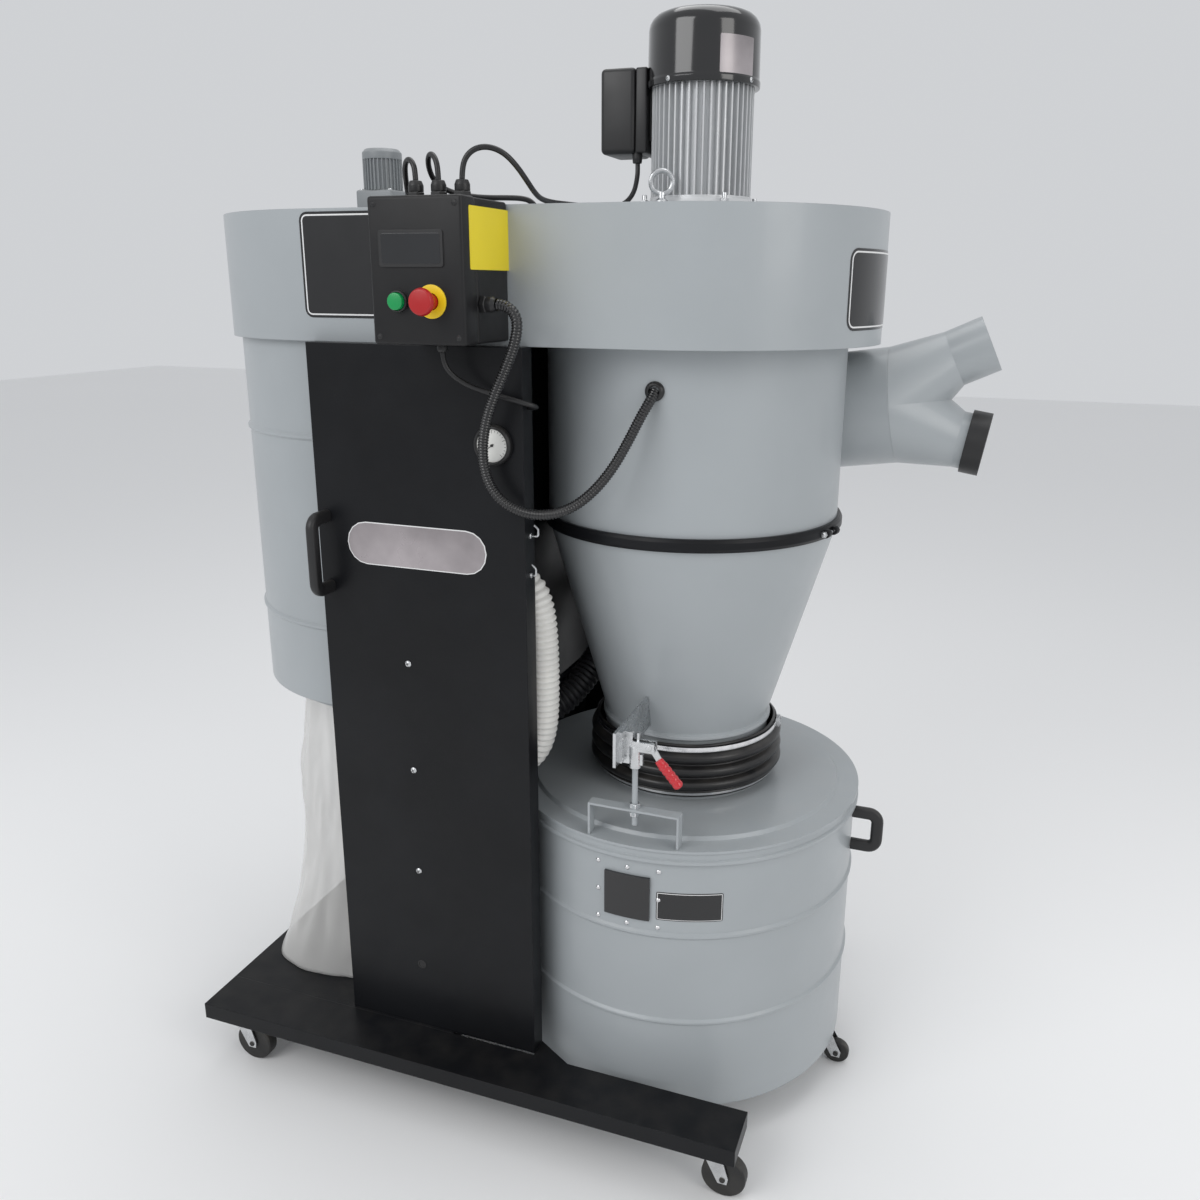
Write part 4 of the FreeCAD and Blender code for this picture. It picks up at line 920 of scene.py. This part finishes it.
def buttons():
    """The two push buttons, each drawn forward from the face that it slides in."""
    back = high("start_button").y
    depth = back - low("start_button").y
    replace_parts(turned("StartButton", [
        (AXIS, 0, 0), (0.0122, 0, 0), (0.0122, depth, 0.0015), (AXIS, depth + 0.0006, 0)],
        aimed((START_X, back, BUTTON_LEVEL), FRONT), GREEN_BUTTON, "start",
        segments=48), "start_button")
    back = high("stop_button").y
    depth = back - low("stop_button").y
    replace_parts(turned("StopButton", [
        (AXIS, 0, 0), (0.0108, 0, 0), (0.0108, depth - 0.015, 0.001),
        (0.0175, depth - 0.0135, 0.002), (0.0195, depth - 0.008, 0.003),
        (0.0175, depth - 0.001, 0.003), (AXIS, depth, 0)],
        aimed((STOP_X, back, BUTTON_LEVEL), FRONT), RED_BUTTON, "stop",
        segments=64), "stop_button")


control_box()
buttons()


def gauge():
    place_low, place_high = low("gauge"), high("gauge")
    centre = (place_low + place_high) / 2
    radius = (place_high.x - place_low.x) / 2
    depth = place_high.y - place_low.y
    face = depth * 0.62
    place = aimed((centre.x, place_high.y, centre.z), FRONT)
    parts = [turned("GaugeRim", [
                 (radius * 0.82, 0, 0), (radius, 0, 0.001), (radius, depth * 0.6, 0.002),
                 (radius * 0.9, depth, 0.002), (radius * 0.82, depth * 0.8, 0.0005)],
                 place, PLASTIC, closed=True, segments=72),
             turned("GaugeDial", [
                 (AXIS, 0, 0), (radius * 0.84, 0, 0), (radius * 0.84, face, 0), (AXIS, face, 0)],
                 place, DIAL, segments=72),
             turned("GaugeHub", [
                 (AXIS, depth * 0.6, 0), (0.0025, depth * 0.6, 0), (0.0022, depth * 0.74, 0.0004),
                 (AXIS, depth * 0.74, 0)], place, PLASTIC, segments=24)]
    for number in range(21):
        spin = place @ Matrix.Rotation(math.radians(225 - 13.5 * number), 4, "Z")
        inner = radius * (0.67 if number % 5 else 0.6)
        parts.append(block("GaugeMark%d" % number, (inner, -0.0003, face),
                           (radius * 0.76, 0.0003, depth * 0.63), PLASTIC, 0.00001, steps=1,
                           place=spin))
    needle = place @ Matrix.Rotation(math.radians(215), 4, "Z")
    parts.append(block("GaugeNeedle", (-0.004, -0.0005, depth * 0.68),
                       (radius * 0.62, 0.0005, depth * 0.7), PLASTIC, 0.0001, steps=1,
                       place=needle))
    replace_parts(merged("Gauge", parts), "gauge")


gauge()

# ---- column


SCREW_LEVELS = (0.875, 0.673, 0.470)
HANDLE_HALF = 0.0085  # from a bow handle's outside to the middle of its bar


def column():
    for height in SCREW_LEVELS:
        screw_head("ColumnScrew%.0f" % (height * 1000), (-0.213, COLUMN_FACE, height), FRONT, 0.006)
    turned("ColumnHole", [
        (AXIS, 0, 0), (0.009, 0, 0), (0.009, 0.0008, 0.0003), (0.006, 0.0009, 0),
        (0.006, 0.0002, 0), (AXIS, 0.0002, 0)],
        aimed((-0.217, COLUMN_FACE, 0.269), FRONT), PLASTIC, segments=32)
    parts = []
    for number, (inset, made) in enumerate(((0.0, LABEL_WHITE), (0.0018, LABEL_GREY))):
        outline = rectangle(0.262 - 2 * inset, 0.074 - 2 * inset, 0.0365 - inset)
        parts.append(prism("NamePlate%d" % number, outline, 0.001 + 0.0003 * number,
                           aimed((-0.187, COLUMN_FACE, 1.084), FRONT), made))
    merged("NamePlate", parts)
    for number, (height, reach) in enumerate(((1.118, 0.016), (1.052, 0.011))):
        root = Vector((PANEL_RIGHT, COLUMN_FACE + 0.016, height))
        line = bent([(root, 0), (root + Vector((reach, 0, 0)), 0.004),
                     (root + Vector((reach, 0, 0.012)), 0.004),
                     (root + Vector((reach - 0.007, 0, 0.018)), 0)])
        swept("WireHook%d" % number, line, circle(0.0018, 10), ZINC, up=(0, 1, 0))
        hex_nut("HookNut%d" % number, root, (1, 0, 0), 0.008, 0.004)


def bow(name, feet, bar, rise, section, up):
    """A moulded bow handle: from its foot out to the bar, along it and back, softly bent."""
    corners = [feet + rise, bar + rise, bar - rise, feet - rise]
    outline = [(point.x, point.y) for point in rectangle(*section, min(section) * 0.38)]
    return swept(name, bent([(corner, 0.016) for corner in corners], 8), outline, PLASTIC, up=up)


def handles():
    box_low, box_high, centre = low("drum_handle"), high("drum_handle"), middle("drum_handle")
    rise = Vector((0, 0, (box_high.z - box_low.z) / 2 - HANDLE_HALF))
    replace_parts(bow("DrumHandle", Vector((box_low.x + 0.001, centre.y, centre.z)),
                    Vector((box_high.x - HANDLE_HALF, centre.y, centre.z)), rise,
                    (0.022, 0.0155), (0, 1, 0)), "drum_handle")
    box_low, box_high, centre = low("column_handle"), high("column_handle"), middle("column_handle")
    rise = Vector((0, 0, (box_high.z - box_low.z) / 2 - HANDLE_HALF))
    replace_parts(bow("ColumnHandle", Vector((centre.x, box_high.y, centre.z)),
                    Vector((centre.x, box_low.y + HANDLE_HALF, centre.z)), rise,
                    (0.022, 0.0165), (1, 0, 0)), "column_handle")


column()
handles()

# ---- drum, bellows and clamps

DRUM_RADIUS = 0.328
CLAMP_REACH = 0.310  # from the middle of the machine across to each clamp
PIVOT_LEVEL = 0.776


def on_drum(across, height):
    """A place on the drum's wall and the way it faces, so far across from its front line."""
    turn = -math.pi / 2 + across / DRUM_RADIUS
    out = Vector((math.cos(turn), math.sin(turn), 0))
    return Vector((CYCLONE.x, MID_Y, height)) + out * DRUM_RADIUS, out


def drum():
    window = middle("drum_window")
    for column_x in (-0.055, 0, 0.055):
        for row in (-0.054, 0, 0.054):
            if column_x == 0 and row == 0:
                continue
            seat, out = on_drum(window.x - CYCLONE.x + column_x, window.z + row)
            screw_head("WindowRivet%d%d" % (column_x * 1000, row * 1000), seat, out, 0.0042,
                       STEEL, slot=False)
    lined_wrap("DrumPlate", CYCLONE, DRUM_RADIUS, (-82, -62), (0.463, 0.517), 0.003, 0.0012, 0.0015)


def bellows():
    foot = low("bellows").z
    top = high("bellows").z
    rib, valley = 0.184, 0.1668
    outline = [(0.1605, foot, 0), (0.171, foot, 0.003), (0.1715, foot + 0.012, 0.002)]
    span = (top - foot - 0.026) / 3
    for number in range(3):
        start = foot + 0.013 + span * number
        outline += [(valley, start, 0.003), (rib - 0.001 * number, start + span * 0.28, 0.008),
                    (rib - 0.001 * number, start + span * 0.72, 0.008)]
    outline += [(valley, top - 0.013, 0.003), (0.1725, top, 0.003), (0.1665, top, 0),
                (0.1665, top - 0.02, 0), (0.1605, top - 0.04, 0), (0.1605, foot + 0.02, 0)]

    def crumple(angle, up):
        share = (up - foot) / (top - foot)
        return 0.0012 * share * math.sin(5 * angle + 2) * math.sin(3 * angle + share * 4)

    skin = turned("Bellows", outline, (CYCLONE.x, MID_Y, 0), RUBBER, body=None, segments=160,
                  closed=True, wobble=crumple)
    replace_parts(skin, "bellows")
    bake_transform(skin)
    for name, height, radius, body in (("UpperBand", top - 0.013, 0.1742, "machine"),
                                       ("LowerBand", foot + 0.005, 0.1732, "lid")):
        band(name, radius, 0.001, 0.009, 0.0002, (CYCLONE.x, MID_Y, height), STEEL, body)
    along = bearing(8 + 90)
    seat = Vector((CYCLONE.x, MID_Y, top - 0.0085)) + bearing(8) * 0.176
    merged("BandScrew", [pin("BandBolt", 0.0035, 0.016, 0.0005, aimed(seat, along), ZINC),
                         hex_nut("BandNut", seat + along * 0.012, along, 0.011, 0.007),
                         hex_nut("BandHead", seat - along * 0.018, along, 0.011, 0.006)])


def clamp_lever(title, side):
    """The push-pull clamp's bent lever and its bumped grip, drawn from the lever's pivot."""
    node, body = "clamp_handle_" + title, "clamp_lever_" + title
    pivot = Vector((low(node).x + 0.005, MID_Y + side * CLAMP_REACH, PIVOT_LEVEL))
    turn = Matrix.Rotation(math.radians(90), 4, "X")
    arm = [(-0.006, 0.005), (0.005, 0.007), (0.012, -0.006), (0.024, -0.026), (0.016, -0.032),
           (0.004, -0.014), (-0.006, -0.004)]
    place = Matrix.Translation(pivot + Vector((0, 0.0015, 0))) @ turn
    grip_place = aimed(pivot + Vector((0.014, 0, -0.022)), Vector((0.66, 0, -0.75)).normalized())
    length = 0.058
    profile = [(AXIS, 0, 0), (0.0072, 0, 0.002), (0.0078, 0.008, 0.002)]
    for number in range(5):
        at = 0.010 + number * 0.009
        profile += [(0.0078, at, 0.001), (0.0088, at + 0.003, 0.002), (0.0088, at + 0.006, 0.002)]
    profile += [(0.0085, length - 0.003, 0.003), (0.0055, length, 0.003), (AXIS, length, 0)]
    parts = [prism(title + "Arm", arm, 0.003, place, ZINC, body),
             turned(title + "PivotPin", [
                 (AXIS, -0.0105, 0), (0.005, -0.0105, 0.001), (0.005, -0.0085, 0),
                 (0.0034, -0.0085, 0), (0.0034, 0.0085, 0), (0.005, 0.0085, 0),
                 (0.005, 0.0105, 0.001), (AXIS, 0.0105, 0)],
                 aimed(pivot, (0, 1, 0)), ZINC, body, segments=20),
             turned(title + "Grip", profile, grip_place, RED, body, segments=40)]
    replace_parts(merged(title.title() + "Lever", parts, body), node)


def clamp(title, side):
    """Rivets on the clamp's foot, and nuts on its rod where it holds the lid's bracket."""
    seat_y = MID_Y + side * CLAMP_REACH
    for number, (along, height) in enumerate(((-0.012, 0.752), (0.012, 0.752), (-0.012, 0.788),
                                              (0.012, 0.788))):
        screw_head("%sRivet%d" % (title.title(), number),
                   (CYCLONE.x - 0.018, seat_y + along, height), (1, 0, 0), 0.0034, slot=False)
    for name, height in (("Upper", 0.6605), ("Lower", 0.6465)):
        hex_nut("%sRod%sNut" % (title.title(), name), (CYCLONE.x, seat_y, height), UP, 0.017,
                0.008, body="lid")


def grommet():
    """The rubber ring where the conduit enters the cyclone's wall."""
    seat = cord_end("conduit", -1)
    out = seat - CYCLONE
    out.z = 0
    out.normalize()
    turned("Grommet", [
        (0.0088, -0.001, 0), (0.0155, -0.001, 0), (0.0155, 0.003, 0.002), (0.012, 0.007, 0.002),
        (0.0088, 0.007, 0)], aimed(seat, out), RUBBER, closed=True, segments=40)


def ring_latch():
    """The bolt that draws the clamp ring tight."""
    out, along = bearing(-15), bearing(-15 + 90)
    reach = high("clamp_ring").x - CYCLONE.x + 0.003
    seat = Vector((CYCLONE.x, MID_Y, middle("clamp_ring").z)) + out * reach
    parts = [pin("LatchLug%d" % number, 0.0075, 0.006, 0.001, aimed(seat + along * shift, along),
                 BLACK, 24) for number, shift in enumerate((-0.016, 0.016))]
    parts += [pin("LatchBolt", 0.003, 0.03, 0.0005, aimed(seat, along), ZINC),
              hex_nut("LatchNut", seat + along * 0.022, along, 0.010, 0.006),
              hex_nut("LatchHead", seat - along * 0.028, along, 0.010, 0.005)]
    merged("RingLatch", parts)


grommet()
ring_latch()
drum()
bellows()
for title, side in (("front", -1), ("rear", 1)):
    clamp_lever(title, side)
    clamp(title, side)

# ---- dust bag

BAG_TOP = high("filter_bag").z
BAG_FLOOR = low("filter_bag").z
BAG_PRESS = -0.160  # the web holds the film back to here
BAG_NECK = 0.233
BAG_HALF_WIDTH = 0.285
BAG_CORNER = -132  # azimuth of the corner that slumps out over the base, in degrees
BAG_ROWS, BAG_COLUMNS = 90, 220


def film_bag():
    """A film bag: pulled in at its neck, pressed by the web and spread on its floor."""
    points = []
    for row in range(BAG_ROWS + 1):
        share = row / BAG_ROWS
        height = BAG_TOP - (BAG_TOP - BAG_FLOOR - 0.002) * share
        waist = 0.012 * math.exp(-((share - 0.55) / 0.2) ** 2)
        spread = BAG_NECK + 0.027 * min(share * 2.2, 1) - waist
        for column in range(BAG_COLUMNS):
            angle = 2 * math.pi * column / BAG_COLUMNS
            out = Vector((math.cos(angle), math.sin(angle), 0))
            toward = max(0, math.cos(angle - math.radians(BAG_CORNER)))
            lobe = 0.075 * toward ** 10 * share ** 4
            drift = noise.noise(Vector((out.x * 2.2, out.y * 2.2, share * 2.5 + 4)))
            crease = noise.noise(Vector((out.x * 7 + share * 2, out.y * 7, share * 4.5)))
            slack = (0.014 * drift + 0.011 * abs(crease)) * min(share * 3, 1) * 0.8
            pleat = math.sin(angle * 31 + 5 * drift + share * 3) * 0.0022 * (1 - share) ** 0.7
            point = FILTER + out * (spread + lobe + slack + pleat)
            if point.x > BAG_PRESS:
                point.x = BAG_PRESS + 0.004 * crease * min(share * 4, 1)
            point.y = max(min(point.y, MID_Y + BAG_HALF_WIDTH), MID_Y - BAG_HALF_WIDTH)
            points.append((point.x, point.y, height))
    faces = strips(BAG_ROWS + 1, BAG_COLUMNS) + caps(BAG_ROWS + 1, BAG_COLUMNS)[1:]
    bag = piece("FilmBag", points, faces, FILM, sharp=180)
    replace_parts(bag, "filter_bag")
    band("BagBand", 0.2375, 0.002, 0.022, 0.0005, (FILTER.x, MID_Y, BAG_TOP - 0.026), PLASTIC)


film_bag()
